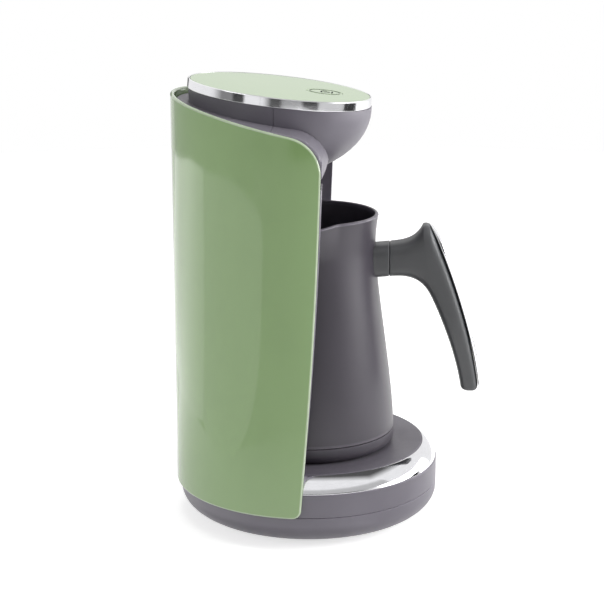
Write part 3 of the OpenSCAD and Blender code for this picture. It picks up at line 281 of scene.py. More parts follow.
def moulded_plastic(name, colour, polish_and_highlight_colour, gloss=(0.4, 0.5), grain=0.0004, bump=0.3, polish_and_highlight_level=0.5, patch=0.05,
                    dust=0.05):
    """Moulded plastic: grain, slow unevenness, lighter edges and a little dust. The lighter edges are polish,
    and on the cover panel a painted highlight.
    """
    made, tree, shader, place = new_material(name)
    skin = use(tree, GRAIN, Vector=place, Grain_Size=grain)
    tone = blend_colour(tree, spread(tree, skin["Patch"], 0.3, 0.7), rgba(colour), rgba(colour, 1 - patch))
    # Lighter edges: polish, and a painted highlight on the cover panel.
    edged = polished_and_highlit_edges(tree, place, tone, polish_and_highlight_colour, polish_and_highlight_level)
    dusty = use(tree, DUST, Vector=place, Amount=dust)["Dust"]
    marks = use(tree, WIPING, Vector=place, Size=0.02, Stretch=(1.0, 1.0, 0.5))["Marks"]
    handled = plus(tree, times(tree, skin["Patch"], 0.5), times(tree, marks, 0.5))
    rough = spread(tree, handled, 0.15, 0.8, *gloss)
    rough = maths(tree, "SUBTRACT", rough, times(tree, edged["Wear"], 0.08))
    rough = plus(tree, rough, times(tree, dusty, 0.5), True)
    base = blend_colour(tree, dusty, edged["Colour"], rgba((205, 200, 192)))
    join(tree, shader, base, rough, skin["Grain"], bump, 0.00006)
    return made


def polished_chrome(name):
    """Bright plated metal with wiping marks and a slight waviness of the plating."""
    made, tree, shader, place = new_material(name, 1.0)
    skin = use(tree, GRAIN, Vector=place, Grain_Size=0.004, Patch_Size=0.012)
    marks = use(tree, WIPING, Vector=place, Stretch=(1.0, 1.0, 6.0), Size=0.006)["Marks"]
    plating = (232, 232, 235)
    tone = blend_colour(tree, marks, rgba(plating), rgba(plating, 0.975))
    edged = polished_and_highlit_edges(tree, place, tone, (250, 250, 250), 0.4)
    rough = spread(tree, marks, 0.0, 1.0, 0.075, 0.11)
    join(tree, shader, edged["Colour"], rough, skin["Grain"], 0.05, 0.00005)
    return made


def plain_metal(name, colour, gloss=(0.25, 0.45), stretch=(1.0, 1.0, 12.0), size=0.002, bump=0.25,
                bright=(225, 225, 228)):
    """Drawn, plated or cast metal with lines or pits, brighter where it is rubbed."""
    made, tree, shader, place = new_material(name, 1.0)
    skin = use(tree, GRAIN, Vector=place, Grain_Size=0.0003, Patch_Size=0.006)
    lines = use(tree, WIPING, Vector=place, Stretch=stretch, Size=size)["Marks"]
    tone = blend_colour(tree, spread(tree, skin["Patch"], 0.3, 0.7), rgba(colour), rgba(colour, 0.82))
    edged = polished_and_highlit_edges(tree, place, tone, bright, 0.7)
    height = plus(tree, times(tree, lines, 0.6), times(tree, skin["Grain"], 0.4))
    join(tree, shader, edged["Colour"], spread(tree, lines, 0.0, 1.0, *gloss), height, bump, 0.00004)
    return made


def rubber(name, colour):
    """Matt rubber with a fine pitted skin and a pale bloom."""
    made, tree, shader, place = new_material(name)
    skin = use(tree, GRAIN, Vector=place, Grain_Size=0.0002, Patch_Size=0.008)
    bloom = spread(tree, skin["Patch"], 0.45, 0.8, 0.0, 0.35)
    tone = blend_colour(tree, bloom, rgba(colour), rgba(colour, lift=34))
    edged = polished_and_highlit_edges(tree, place, tone, [c + 45 for c in colour], 0.6)
    dusty = use(tree, DUST, Vector=place, Amount=0.15)["Dust"]
    base = blend_colour(tree, dusty, edged["Colour"], rgba((190, 186, 180)))
    join(tree, shader, base, spread(tree, skin["Patch"], 0.2, 0.8, 0.55, 0.8), skin["Grain"], 0.5, 0.00008)
    return made


def circuit_board(name):
    """Laminate under solder mask: a weave below, copper tracks that show through, and a glossy mask."""
    made, tree, shader, place = new_material(name)
    cloth = {"Vector": place, "Scale": 900.0, "Distortion": 0.5, "Detail": 1.0}
    weave = node(tree, "ShaderNodeTexWave", cloth, bands_direction="DIAGONAL").outputs["Fac"]
    cells = node(tree, "ShaderNodeTexVoronoi", {"Vector": place, "Scale": 320.0, "Randomness": 0.0},
                 distance="CHEBYCHEV", feature="DISTANCE_TO_EDGE").outputs["Distance"]
    tracks = spread(tree, cells, 0.02, 0.06, 1.0, 0.0)
    mask = blend_colour(tree, times(tree, weave, 0.25), rgba((20, 92, 56)), rgba((30, 112, 70)))
    tone = blend_colour(tree, tracks, mask, rgba((52, 132, 76)))
    edged = polished_and_highlit_edges(tree, place, tone, (196, 190, 140), 0.8)
    join(tree, shader, edged["Colour"], spread(tree, tracks, 0.0, 1.0, 0.32, 0.22), tracks, 0.3, 0.00006)
    return made


def ribbon_jacket(name):
    """Flat cable: cores that run side by side under a pale jacket, the first one marked red."""
    made, tree, shader, place = new_material(name)
    x = split(tree, place)["X"]
    cores = stripes(tree, x, 0.00127)
    grain = use(tree, GRAIN, Vector=place, Grain_Size=0.0005)
    tone = blend_colour(tree, times(tree, cores, 0.7), rgba((120, 122, 130)), rgba((206, 206, 212)))
    tone = blend_colour(tree, spread(tree, x, 0.0030, 0.0031), tone, rgba((176, 58, 50)))
    edged = polished_and_highlit_edges(tree, place, tone, (226, 226, 230), 0.3)
    join(tree, shader, edged["Colour"], spread(tree, grain["Patch"], 0.3, 0.7, 0.4, 0.55), cores, 0.6, 0.0002)
    return made


def laminated_core(name):
    """Transformer: stacked sheet edges below, copper winding above, under dark varnish."""
    made, tree, shader, place = new_material(name)
    axes = split(tree, place)
    sheets, turns = stripes(tree, axes["Y"], 0.0005), stripes(tree, axes["Z"], 0.0006)
    from_middle = maths(tree, "ABSOLUTE", maths(tree, "SUBTRACT", axes["Z"], 0.0195))
    steel = blend_colour(tree, sheets, rgba((60, 56, 52)), rgba((118, 112, 104)))
    copper = blend_colour(tree, turns, rgba((110, 52, 26)), rgba((206, 124, 70)))
    tone = blend_colour(tree, spread(tree, from_middle, 0.0046, 0.0048, 1.0, 0.0), steel, copper)
    skin = use(tree, GRAIN, Vector=place, Grain_Size=0.0004)
    rough = spread(tree, skin["Patch"], 0.3, 0.7, 0.28, 0.5)
    edged = polished_and_highlit_edges(tree, place, tone, (160, 150, 140), 0.4)
    join(tree, shader, edged["Colour"], rough, times(tree, sheets, turns), 0.5, 0.0001)
    return made


def symbol_ink(name):
    """Dull printed ink."""
    made, tree, shader, place = new_material(name)
    shader.inputs["Specular IOR Level"].default_value = 0.2
    grain = use(tree, GRAIN, Vector=place, Grain_Size=0.0003)["Grain"]
    tone = blend_colour(tree, spread(tree, grain, 0.3, 0.7), rgba((26, 34, 28)), rgba((40, 48, 42)))
    join(tree, shader, tone, 0.6, grain, 0.2, 0.0001)
    return made


FINISHES = {
    # The cover panel's lighter edge colour (205, 216, 195) is a painted highlight: the light its rounded edge
    # catches, laid on as edge colour.
    "green_plastic": moulded_plastic("sage_gloss", (145, 177, 117), (205, 216, 195), gloss=(0.04, 0.065),
                                     grain=0.0012, bump=0.01, polish_and_highlight_level=0.7, patch=0.02, dust=0.02),
    "grey_plastic": moulded_plastic("grey_satin", (106, 102, 112), (156, 150, 163), gloss=(0.36, 0.46),
                                    bump=0.22, polish_and_highlight_level=0.55, dust=0.06),
    "pot_plastic": moulded_plastic("pot_satin", (68, 64, 72), (128, 122, 134), gloss=(0.32, 0.42),
                                   bump=0.25, dust=0.03),
    "dark_plastic": moulded_plastic("handle_satin", (86, 87, 89), (128, 129, 132), gloss=(0.38, 0.5),
                                    dust=0.02),
    "black_plastic": moulded_plastic("black_gloss", (20, 20, 22), (70, 70, 74), gloss=(0.12, 0.2),
                                     grain=0.0008, bump=0.05, polish_and_highlight_level=0.4),
    "white_plastic": moulded_plastic("white_natural", (228, 226, 220), (240, 240, 236), gloss=(0.35, 0.5),
                                     polish_and_highlight_level=0.3),
    "yellow_plastic": moulded_plastic("capacitor_case", (206, 172, 44), (226, 204, 110), gloss=(0.22, 0.35),
                                      polish_and_highlight_level=0.4),
    "blue_plastic": moulded_plastic("terminal_blue", (34, 94, 150), (96, 140, 186), gloss=(0.32, 0.45),
                                    polish_and_highlight_level=0.4),
    "window_plastic": moulded_plastic("infrared_window", (58, 12, 20), (96, 40, 46), gloss=(0.06, 0.12),
                                      grain=0.001, bump=0.03, polish_and_highlight_level=0.3),
    "board": circuit_board("board_laminate"),
    "ribbon": ribbon_jacket("ribbon_jacket"),
    "chrome_trim": polished_chrome("chrome_bright"),
    "screw_steel": plain_metal("zinc_steel", (186, 188, 194), gloss=(0.2, 0.38)),
    "heater_aluminium": plain_metal("cast_aluminium", (196, 196, 198), gloss=(0.4, 0.6),
                                    stretch=(1.0, 1.0, 1.0), size=0.0008, bump=0.4),
    "core_metal": laminated_core("laminated_core"),
    "contact_brass": plain_metal("contact_brass", (214, 178, 104), gloss=(0.16, 0.3), bright=(240, 218, 160)),
    "black_rubber": rubber("black_rubber", (40, 40, 41)),
    "lead_rubber": rubber("lead_sleeve", (150, 44, 36)),
}
SLOT_NODES = {
    "green_plastic": ("cover_panel", "control_plate", "start_key"),
    "grey_plastic": ("base_pan", "base_shell", "front_shell", "rear_shell"),
    "pot_plastic": ("pot_vessel", "pot_base_cap"),
    "dark_plastic": ("handle_boss", "handle_grip"),
    "black_plastic": ("connector_body", "pot_socket", "relay", "tact_switch", "control_chips", "buzzer"),
    "white_plastic": ("switch_plunger", "status_leds", "thermal_cutout"),
    "yellow_plastic": ("filter_capacitor",),
    "blue_plastic": ("terminal_block",),
    "window_plastic": ("sensor_window",),
    "board": ("power_board", "control_board", "sensor_board"),
    "ribbon": ("ribbon_cable",),
    "chrome_trim": ("base_trim_ring", "head_ring", "handle_strip"),
    "screw_steel": ("base_screws", "connector_screws", "column_screws", "board_screws", "pot_screws",
                    "handle_screw"),
    "heater_aluminium": ("heater_plate", "heating_element"),
    "core_metal": ("transformer",),
    "contact_brass": ("connector_contacts", "socket_contacts", "temperature_sensor"),
    "black_rubber": ("rubber_feet", "cord_gland", "base_seal"),
    "lead_rubber": ("connector_leads", "element_leads"),
}
SLOT = {n: s for s, members in SLOT_NODES.items() for n in members}


# ---- Meshes ----

def sharper(edge, degrees):
    return len(edge.link_faces) == 2 and edge.calc_face_angle(0.0) > math.radians(degrees)


def mark_edges(mesh, crease):
    """Marks edges sharper than the crease.

    The edge attribute, which the edge polish and the painted edge highlight read, says how tight each point's
    outward corner is.
    """
    least_bend, nearest = 0.02, 2e-5
    easy, tight = 0.25, 0.9  # radians to a millimetre, where wear starts and where it is full
    bm = bmesh.new()
    bm.from_mesh(mesh)
    layer = bm.verts.layers.float.new("edge")
    for vert in bm.verts:
        most = 0.0
        for e in vert.link_edges:
            bend = e.calc_face_angle_signed(0.0) if len(e.link_faces) == 2 else 0.0
            if bend > least_bend:
                a, b = (f.calc_center_median() for f in e.link_faces)
                most = max(most, bend / max((a - b).length, nearest))
        vert[layer] = smooth((most * MM - easy) / (tight - easy))
    for e in bm.edges:
        if sharper(e, crease):
            e.smooth = False
    bm.to_mesh(mesh)
    bm.free()


def worked(mesh, kind, **settings):
    """The mesh after one modifier."""
    holder = placed("holder", mesh)
    step = holder.modifiers.new(kind.lower(), kind)
    for key, value in settings.items():
        setattr(step, key, value)
    return settled(holder)


def add_piece(name, mesh, body, nodes=(), slot=None, material=None, crease=40):
    """Puts a finished mesh in the scene, on its body, in place of its nodes.

    Broad faces keep their shading flat.
    """
    mesh.polygons.foreach_set("use_smooth", [True] * len(mesh.polygons))
    mark_edges(mesh, crease)
    mesh = worked(mesh, "WEIGHTED_NORMAL", keep_sharp=True)
    mesh.name = name
    mesh.materials.clear()
    mesh.materials.append(material or FINISHES[slot])
    made = placed(name, mesh)
    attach(made, body)
    if nodes:
        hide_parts(*nodes)
    return made


def stand_in(name, word, mesh, crease):
    """Puts a mesh in place of one node. The word says how the piece is made."""
    return add_piece(f"{name}_{word}", mesh, BODY[name], (name,), SLOT[name], crease=crease)


def closed_mesh(name, points, faces, at=None):
    """Mesh from points in millimetres, with doubles merged and faces turned outward."""
    bm = bmesh.new()
    verts = [bm.verts.new(Vector(p) * MM) for p in points]
    for face in faces:
        if len(set(face)) == len(face):
            bm.faces.new([verts[i] for i in face])
    bmesh.ops.remove_doubles(bm, verts=bm.verts, dist=SAME_PLACE)
    bmesh.ops.dissolve_degenerate(bm, edges=bm.edges, dist=SAME_PLACE)
    if at is not None:
        bmesh.ops.transform(bm, matrix=at, verts=bm.verts)
    bmesh.ops.recalc_face_normals(bm, faces=bm.faces)
    return mesh_of(name, bm)


def grid_faces(across, rows, start=0, closed=False):
    """Quads over rows of points. A closed grid joins the end of each row to its start."""
    return [(k + i, k + (i + 1) % across, k + across + (i + 1) % across, k + across + i)
            for k in range(start, start + (rows - 1) * across, across)
            for i in range(across if closed else across - 1)]


def skin_over(rings, loop=False):
    """Quads over rings of as many points each. The ends are closed, or the last ring joins the first."""
    n, count = len(rings[0]), len(rings)
    points = [p for ring in rings for p in ring]
    faces = [tuple(i % (n * count) for i in face) for face in grid_faces(n, count + loop, closed=True)]
    for k in () if loop else (0, count - 1):
        points.append(tuple(sum((Vector(p) for p in rings[k]), Vector()) / n))
        faces += [(k * n + i, k * n + (i + 1) % n, len(points) - 1) for i in range(n)]
    return points, faces


def ringed(name, word, rings, crease, loop=False, at=None):
    """Piece in place of a node, skinned over rings."""
    return stand_in(name, word, closed_mesh(name, *skin_over(rings, loop), at), crease)


def rounded(corners, n=5):
    """Outline through corners (x, y, radius), each rounded by its radius."""
    share, straight = 0.49, math.radians(89)
    out, count = [], len(corners)
    for k, (x, y, r) in enumerate(corners):
        here = Vector((x, y))
        before, after = Vector(corners[k - 1][:2]) - here, Vector(corners[(k + 1) % count][:2]) - here
        a, b = before.normalized(), after.normalized()
        half = math.acos(max(-1, min(1, a.dot(b)))) / 2
        if r <= 0 or min(before.length, after.length) < 1e-9 or half > straight:
            out.append((x, y))
            continue
        cut = min(r / math.tan(half), before.length * share, after.length * share)
        r = cut * math.tan(half)
        middle = here + (a + b).normalized() * (r / math.sin(half))
        start, end = here + a * cut - middle, here + b * cut - middle
        turn = start.angle_signed(end)
        out += [tuple(middle + Matrix.Rotation(-turn * i / n, 2) @ start) for i in range(n + 1)]
    return out


def circle(r, z, n, y=0.0):
    return [(r * math.cos(2 * math.pi * i / n), r * math.sin(2 * math.pi * i / n) + y, z) for i in range(n)]


def turned(profile, n=192):
    """Rings of a closed profile (r, z) turned round the upright axis."""
    return [circle(max(r, 0.0), z, n) for r, z in profile]


# ---- CAD nodes with their edges rounded ----

def softened(name, width_at):
    """Merged copy of a CAD node with its sharp edges rounded, its flat faces cut into sectors beforehand.

    The width at an edge, in millimetres, is what width_at says of its two ends. 0 leaves it sharp.
    """
    sectors, near, flat_within, fine_width = 16, 1e-5, 2e-5, 1.0
    mesh = NODES[name].data.copy()
    bm = bmesh.new()
    bm.from_mesh(mesh)
    bmesh.ops.remove_doubles(bm, verts=bm.verts, dist=near)
    bmesh.ops.dissolve_degenerate(bm, edges=bm.edges, dist=near)
    for k in range(sectors):
        a = math.pi * (k + 0.5) / sectors
        flat = [f for f in bm.faces
                if min(abs(abs(f.normal.z) - 1.0), abs(f.normal.z - math.cos(DECK_SLOPE))) < flat_within]
        around = {part for f in flat for part in (*f.verts, *f.edges)}
        around = sorted(around, key=lambda part: (isinstance(part, bmesh.types.BMEdge), part.index))
        cut = bmesh.ops.bisect_plane(bm, geom=flat + around, dist=SAME_PLACE, plane_co=(0, 0, 0),
                                     plane_no=(math.cos(a), math.sin(a), 0))
        for part in cut["geom_cut"]:
            if isinstance(part, bmesh.types.BMEdge):
                part.seam = True
    bmesh.ops.dissolve_limit(bm, angle_limit=math.radians(0.05), verts=bm.verts, edges=bm.edges,
                             delimit={"SEAM"})
    share = bm.edges.layers.float.new("bevel_weight_edge")
    widths = {e: width_at(*(v.co / MM for v in e.verts)) for e in bm.edges if sharper(e, 38)}
    widest = max([*widths.values(), 0.01])
    for e, width in widths.items():
        e[share] = width / widest
    for e in bm.edges:
        e.seam = False
        e.smooth = not (len(e.link_faces) == 2 and bowl_join(*e.link_faces))
    bm.to_mesh(mesh)
    bm.free()
    return worked(mesh, "BEVEL", width=widest * MM, segments=3 if widest < fine_width else 6,
                  limit_method="WEIGHT", use_clamp_overlap=False, miter_outer="MITER_ARC")


def bowl_join(a, b):
    """True between a face of the head's bowl, which looks down, and one of the deck, which looks up."""
    low, high, back, inside, least_bend = 195, 226, 30, 55, 0.05
    x, y, z = (a.calc_center_median() + b.calc_center_median()) / 2 / MM
    there = low < z < high and y < back and math.hypot(x, y) > inside
    return there and a.normal.z * b.normal.z < 0 and a.normal.angle(b.normal) > least_bend


def base_edges(a, b):
    """Rounds the tray's step and what shows round the outside and below."""
    outside, tray, under = 71.5, 39.0, 7.0
    shows = all(reach(p) > outside or p[2] > tray or p[2] < under for p in (a, b))
    return 0.35 if shows else 0.0


def column_edges(a, b):
    """Rounds the outside of the deck most, and the column's front edges less.

    The parting plane of the shells stays sharp.
    """
    outside, deck_foot = 72.0, 204
    if any(reach(p) <= outside for p in (a, b)) or all(abs(p[1] - HEAD_Y) < 0.3 for p in (a, b)):
        return 0.0
    steep = math.hypot(a[0] - b[0], a[1] - b[1]) < 0.05 * abs(a[2] - b[2])
    return 0.4 if steep or min(a[2], b[2]) < deck_foot else 1.8


def left_sharp(a, b):
    return 0.0


def soften_node(name, width_at, crease=30):
    return stand_in(name, "moulded", softened(name, width_at), crease)


# ---- Green cover panel ----

CORNER_STEPS, SHOULDER_STEPS = 12, 30
PANEL_ACROSS, PANEL_UP = 110, 84


def panel_half_outline():
    """Right half of the panel's outline as points (y, z), from the foot's middle to the rim's middle."""
    foot_y, top_y, bow, shoulder, corner, steps = -0.2, -10.2, 1.4, 20.0, 5.0, 60
    cy = top_y + shoulder
    cz = RIM_Z + math.tan(RIM_SLOPE) * cy - shoulder / math.cos(RIM_SLOPE)
    low = PANEL_FOOT_Z + corner + 0.5
    out = []
    for i in range(CORNER_STEPS + 1):
        a = math.radians(270 - 90 * i / CORNER_STEPS)
        out.append((foot_y + corner + corner * math.cos(a), PANEL_FOOT_Z + corner + corner * math.sin(a)))
    for i in range(steps):
        t = i / steps
        out.append((foot_y + (top_y - foot_y) * t - bow * 4 * t * (1 - t), low + (cz - low) * t))
    for i in range(SHOULDER_STEPS + 1):
        a = math.pi + (RIM_SLOPE - math.pi / 2) * i / SHOULDER_STEPS
        out.append((cy + shoulder * math.cos(a), cz + shoulder * math.sin(a)))
    return out


def along(line, count):
    """Points at count + 1 places along a line, closer together at both ends."""
    crowd = 0.75
    lengths = [0.0]
    for a, b in zip(line, line[1:]):
        lengths.append(lengths[-1] + (Vector(b) - Vector(a)).length)
    out, k = [], 0
    for i in range(count + 1):
        s = i / count
        want = ((1 - crowd) * s + crowd * (0.5 - 0.5 * math.cos(math.pi * s))) * lengths[-1]
        while k < len(line) - 2 and lengths[k + 1] < want:
            k += 1
        t = (want - lengths[k]) / max(lengths[k + 1] - lengths[k], 1e-12)
        out.append(Vector(line[k]).lerp(Vector(line[k + 1]), min(max(t, 0), 1)))
    return out


def panel_outline():
    """Outline of the panel laid flat, as points (length round the wall, z), from its lower left corner."""
    foot_steps, rim_steps = 20, 60
    side = [(PANEL_R * math.acos(y / PANEL_R), z) for y, z in panel_half_outline()]
    foot = [(side[0][0] * i / foot_steps, PANEL_FOOT_Z) for i in range(foot_steps)]
    rim = []
    for i in range(1, rim_steps + 1):
        u = side[-1][0] * (1 - i / rim_steps)
        rim.append((u, RIM_Z + math.tan(RIM_SLOPE) * PANEL_R * math.cos(u / PANEL_R)))
    right = foot + side + rim
    mirror = [(-u, z) for u, z in right]
    corner, shoulder = len(foot) + CORNER_STEPS // 2, len(foot) + len(side) - SHOULDER_STEPS // 2 - 1
    bottom = along(mirror[corner::-1] + right[1:corner + 1], PANEL_ACROSS)
    top = along(mirror[shoulder:] + right[-2:shoulder - 1:-1], PANEL_ACROSS)
    east = along(right[corner:shoulder + 1], PANEL_UP)
    west = [Vector((-p[0], p[1])) for p in east]
    return bottom + east[1:] + top[-2::-1] + west[-2:0:-1]


def filled(edge):
    """Rows of points over the field inside an outline, blended from its four sides."""
    nu, nv = PANEL_ACROSS, PANEL_UP
    bottom, east = edge[:nu + 1], edge[nu:nu + nv + 1]
    top = edge[nu + nv:2 * nu + nv + 1][::-1]
    west = (edge[2 * nu + nv:] + edge[:1])[::-1]
    out = []
    for j in range(nv + 1):
        v = j / nv
        for i in range(nu + 1):
            u = i / nu
            p = (1 - v) * bottom[i] + v * top[i] + (1 - u) * west[j] + u * east[j]
            out.append(p - ((1 - u) * (1 - v) * bottom[0] + u * (1 - v) * bottom[nu]
                            + (1 - u) * v * top[0] + u * v * top[nu]))
    return out


def cover_panel():
    """The wrap of the column: one closed shell with a fully rounded edge."""
    def wrapped(p, radius):
        return (radius * math.sin(p[0] / PANEL_R), radius * math.cos(p[0] / PANEL_R), p[1])
    outline, edge_steps = panel_outline(), 12
    count, edge_r, middle_r = len(outline), (PANEL_R - PANEL_IN_R) / 2, (PANEL_R + PANEL_IN_R) / 2
    inward = []
    for i in range(count):
        d = outline[(i + 1) % count] - outline[i - 1]
        inward.append(Vector((-d[1], d[0])).normalized())
    field = filled([p + n * edge_r for p, n in zip(outline, inward)])
    points, faces = [], []
    for radius in (PANEL_R, PANEL_IN_R):
        faces += grid_faces(PANEL_ACROSS + 1, PANEL_UP + 1, len(points))
        points += [wrapped(p, radius) for p in field]
    faces += grid_faces(count, edge_steps + 1, len(points), closed=True)
    for k in range(edge_steps + 1):
        a = math.pi * k / edge_steps
        inset, radius = edge_r * (1 - math.sin(a)), middle_r + edge_r * math.cos(a)
        points += [wrapped(p + n * inset, radius) for p, n in zip(outline, inward)]
    made = stand_in("cover_panel", "wrap", closed_mesh("cover_panel", points, faces), 60)
    exact = []
    for v in made.data.vertices:
        radius = reach(v.co) / MM
        side = 1 if abs(radius - PANEL_R) < 1e-3 else -1 if abs(radius - PANEL_IN_R) < 1e-3 else 0
        exact.append(Vector((v.co.x * side, v.co.y * side, 0)).normalized() if side else v.normal.copy())
    made.data.normals_split_custom_set_from_vertices(exact)


# ---- Pot ----

def vessel_ring(r, z, n=240):
    """Ring of the vessel's wall. Near the rim it is drawn out into the spout."""
    lip = smooth((z - POT_H + SPOUT_DROP) / SPOUT_DROP) ** 1.3
    out = []
    for i in range(n):
        a = 2 * math.pi * i / n
        off = abs(math.degrees(a) - 180)
        s = lip * (0.5 + 0.5 * math.cos(math.pi * off / SPOUT_HALF)) ** 0.85 if off < SPOUT_HALF else 0.0
        far = r + SPOUT_REACH * s
        drop = SPOUT_DIP * s * smooth((z - POT_H + DIP_DROP) / DIP_DROP)
        out.append((far * math.cos(a), far * math.sin(a), POT_Z + z - drop))
    return out


def vessel_profile():
    """Outside of the vessel from its foot to its rim, as points (r, z)."""
    below, above = 44, 14
    curve = [(FOOT_R, FOOT_H), (47.5, 38.0), (38.3, 85.0), (WAIST_R, WAIST_H)]
    line = [cubic(curve, i / below) for i in range(below + 1)]
    return line + [(WAIST_R + (RIM_R - WAIST_R) * (i / above) ** 2, WAIST_H + (POT_H - WAIST_H) * i / above)
                   for i in range(1, above + 1)]


def pot_vessel():
    """The jug with its spout, its rolled rim and its floor."""
    half, floor_top, floor_r = POT_WALL / 2, 17.6, 44.6
    skirt = [(r, z) for r, z in vessel_profile() if z < POT_H - half]
    inner = [(r - POT_WALL, z) for r, z in skirt if z > 24]
    tenths, eighths = [math.pi * i / 10 for i in range(11)], [math.pi / 2 * i / 8 for i in range(9)]
    rim = [(RIM_R - half + half * math.cos(a), POT_H - half + half * math.sin(a)) for a in tenths]
    floor = [(floor_r - 6 * (1 - math.cos(a)), floor_top + 5.9 * (1 - math.sin(a))) for a in eighths]
    under = [(0.0, 15.4), (44.8, 15.4), (46.0, 14.0), (46.15, 11.2), (46.15, 9.3), (46.5, FOOT_H),
             (47.9, FOOT_H), (48.3, 9.25)]
    profile = under + skirt[1:] + rim + inner[::-1] + floor + [(30.0, floor_top), (0.0, floor_top)]
    ringed("pot_vessel", "jug", [vessel_ring(r, z) for r, z in profile], 50)


# ---- Handle, as points (distance from the pot's axis, height over the pot's foot) ----

TIP, TIP_BACK, GRIP_END = (67.2, 125.0), (63.4, 125.4), (96.0, 32.0)
GRIP_OUTER = [TIP, (76.0, 108.0), (91.5, 66.0), GRIP_END]
SEAM_Y, STUB_TOP, STUB_UNDER = BOSS_Y + 0.1, STUB_H + STUB_T / 2 - 0.4, STUB_H - STUB_T / 2
GRIP_UNDER = (68.0, STUB_UNDER - 10.5)
ARM_END, TIP_END, LAST = 6, 7, 14  # stations along the grip


def section(p, q, width, inset=0.0, power=0.55, n=56):
    """Rounded section between two points of the side view, width wide, smaller by inset all round."""
    p, q = Vector(p), Vector(q)
    middle, half = (p + q) / 2, (q - p) / 2
    half -= half.normalized() * inset
    out = []
    for i in range(n):
        a = 2 * math.pi * i / n
        u, v = (math.copysign(abs(c) ** power, c) for c in (math.cos(a), math.sin(a)))
        s = middle + half * u
        out.append(((width / 2 - inset) * v, -s[0], s[1] + POT_Z))
    return out


def grip_lines(j):
    """Point under and point over the grip at station j, 0 to 14."""
    if j <= ARM_END:
        over = [(SEAM_Y, STUB_TOP), (SEAM_Y + 7, STUB_TOP + 0.7), (TIP_BACK[0] - 4, STUB_TOP + 1.4), TIP_BACK]
        under = [(SEAM_Y, STUB_UNDER), (SEAM_Y + 8, STUB_UNDER + 0.8),
                 (GRIP_UNDER[0] - 6, STUB_UNDER + 1.1), GRIP_UNDER]
        return cubic(under, j / ARM_END), cubic(over, j / ARM_END)
    inner = [GRIP_UNDER, (GRIP_UNDER[0] + 6, GRIP_UNDER[1] - 12),
             (GRIP_END[0] - GRIP_T - 3, GRIP_END[1] + 20), (GRIP_END[0] - GRIP_T, GRIP_END[1])]
    under = cubic(inner, (j - ARM_END) / (LAST - ARM_END))
    if j < TIP_END:
        t = j - ARM_END
        return under, Vector(TIP_BACK).lerp(Vector(TIP), t) + Vector((0, 0.5 * math.sin(math.pi * t)))
    return under, cubic(GRIP_OUTER, (j - TIP_END) / (LAST - TIP_END))


def stub_ring(y, inset):
    """Section of the stub at a distance from the pot's axis, smaller by inset all round."""
    up = (y - BOSS_Y) * math.tan(STUB_RISE)
    return section((y, STUB_UNDER + up), (y, STUB_TOP + up), BOSS_W, inset)


def grip_ring(j, inset=0.0):
    """Section of the grip at station j, smaller by inset all round. It narrows toward the grip's end."""
    if j <= ARM_END:
        width = BOSS_W + (GRIP_W - BOSS_W) * j / ARM_END
    else:
        width = GRIP_W * (1 - 0.12 * smooth((j - 10) / 4))
    return section(*grip_lines(j), width, inset)


def handle_grip():
    """The grip, with the tenon that enters the stub on the pot."""
    rings = [stub_ring(BOSS_Y - 3.0, 3.0), stub_ring(BOSS_Y - 2.7, 2.6), stub_ring(SEAM_Y, 2.6)]
    rings += [grip_ring(0.0, 0.7), grip_ring(0.02, 0.25), grip_ring(0.12)]
    rings += [grip_ring(0.25 * k) for k in range(1, 24)]
    rings += [grip_ring(ARM_END + 0.125 * k) for k in range(9)]
    rings += [grip_ring(TIP_END + 0.25 * k) for k in range(1, 27)]
    rings += [grip_ring(13.75), grip_ring(13.87, 0.25), grip_ring(13.95, 0.8), grip_ring(14.0, 1.7)]
    ringed("handle_grip", "moulded", rings, 60)


def handle_boss():
    """The stub on the pot, with its hollow for the grip's tenon."""
    rings = [stub_ring(y, 0.0) for y in (36.0, 38.0, 40.0, 42.0, 44.0, 44.6)]
    seam = ((44.8, 0.25), (45.08, 0.7), (45.08, 2.4), (BOSS_Y - 3.2, 2.4))
    rings += [stub_ring(y, inset) for y, inset in seam]
    ringed("handle_boss", "moulded", rings, 60)


def handle_strip():
    """Plated strip along the outside of the grip, thicker and wider away from its top."""
    n, step, lift, rings = 60, 0.02, 0.15, []
    for i in range(n + 1):
        t = i / n
        p = Vector(cubic(GRIP_OUTER, t))
        d = Vector(cubic(GRIP_OUTER, min(1, t + step))) - Vector(cubic(GRIP_OUTER, max(0, t - step)))
        out = Vector((-d[1], d[0])).normalized()
        rise = 2.6 * (0.45 + 0.55 * smooth(t * 6)) * (1 - 0.4 * smooth(t * 5 - 4))
        inset = {0: 0.45, 1: 0.12}.get(min(i, n - i), 0.0)
        width = STRIP_W * (0.66 + 0.34 * smooth(t * 4))
        rings.append(section(p + out * lift, p + out * rise, width, inset, 0.5))
    ringed("handle_strip", "plated", rings, 60)


# ---- Head ----

HEAD_PLACE = Matrix.Translation((0, HEAD_Y * MM, HEAD_Z * MM)) @ Matrix.Rotation(HEAD_TILT, 4, "X")
KEY_PLACE = HEAD_PLACE @ Matrix.Translation((0, -KEY_Y * MM, 0))


def head_ring():
    """Plated ring round the top plate, with the ledge that carries the plate's skirt."""
    foot, ledge_r = -HEAD_RING_H, HEAD_RING_IN_R - 2.3
    profile = rounded([(HEAD_RING_IN_R, 0.0, 0.35), (HEAD_RING_R, 0.0, 0.45), (HEAD_RING_R, foot, 0.45),
                       (ledge_r, foot, 0.2), (ledge_r, SKIRT_END, 0.2), (HEAD_RING_IN_R, SKIRT_END, 0.2)], 4)
    ringed("head_ring", "plated", turned(profile, 256), 50, loop=True, at=HEAD_PLACE)


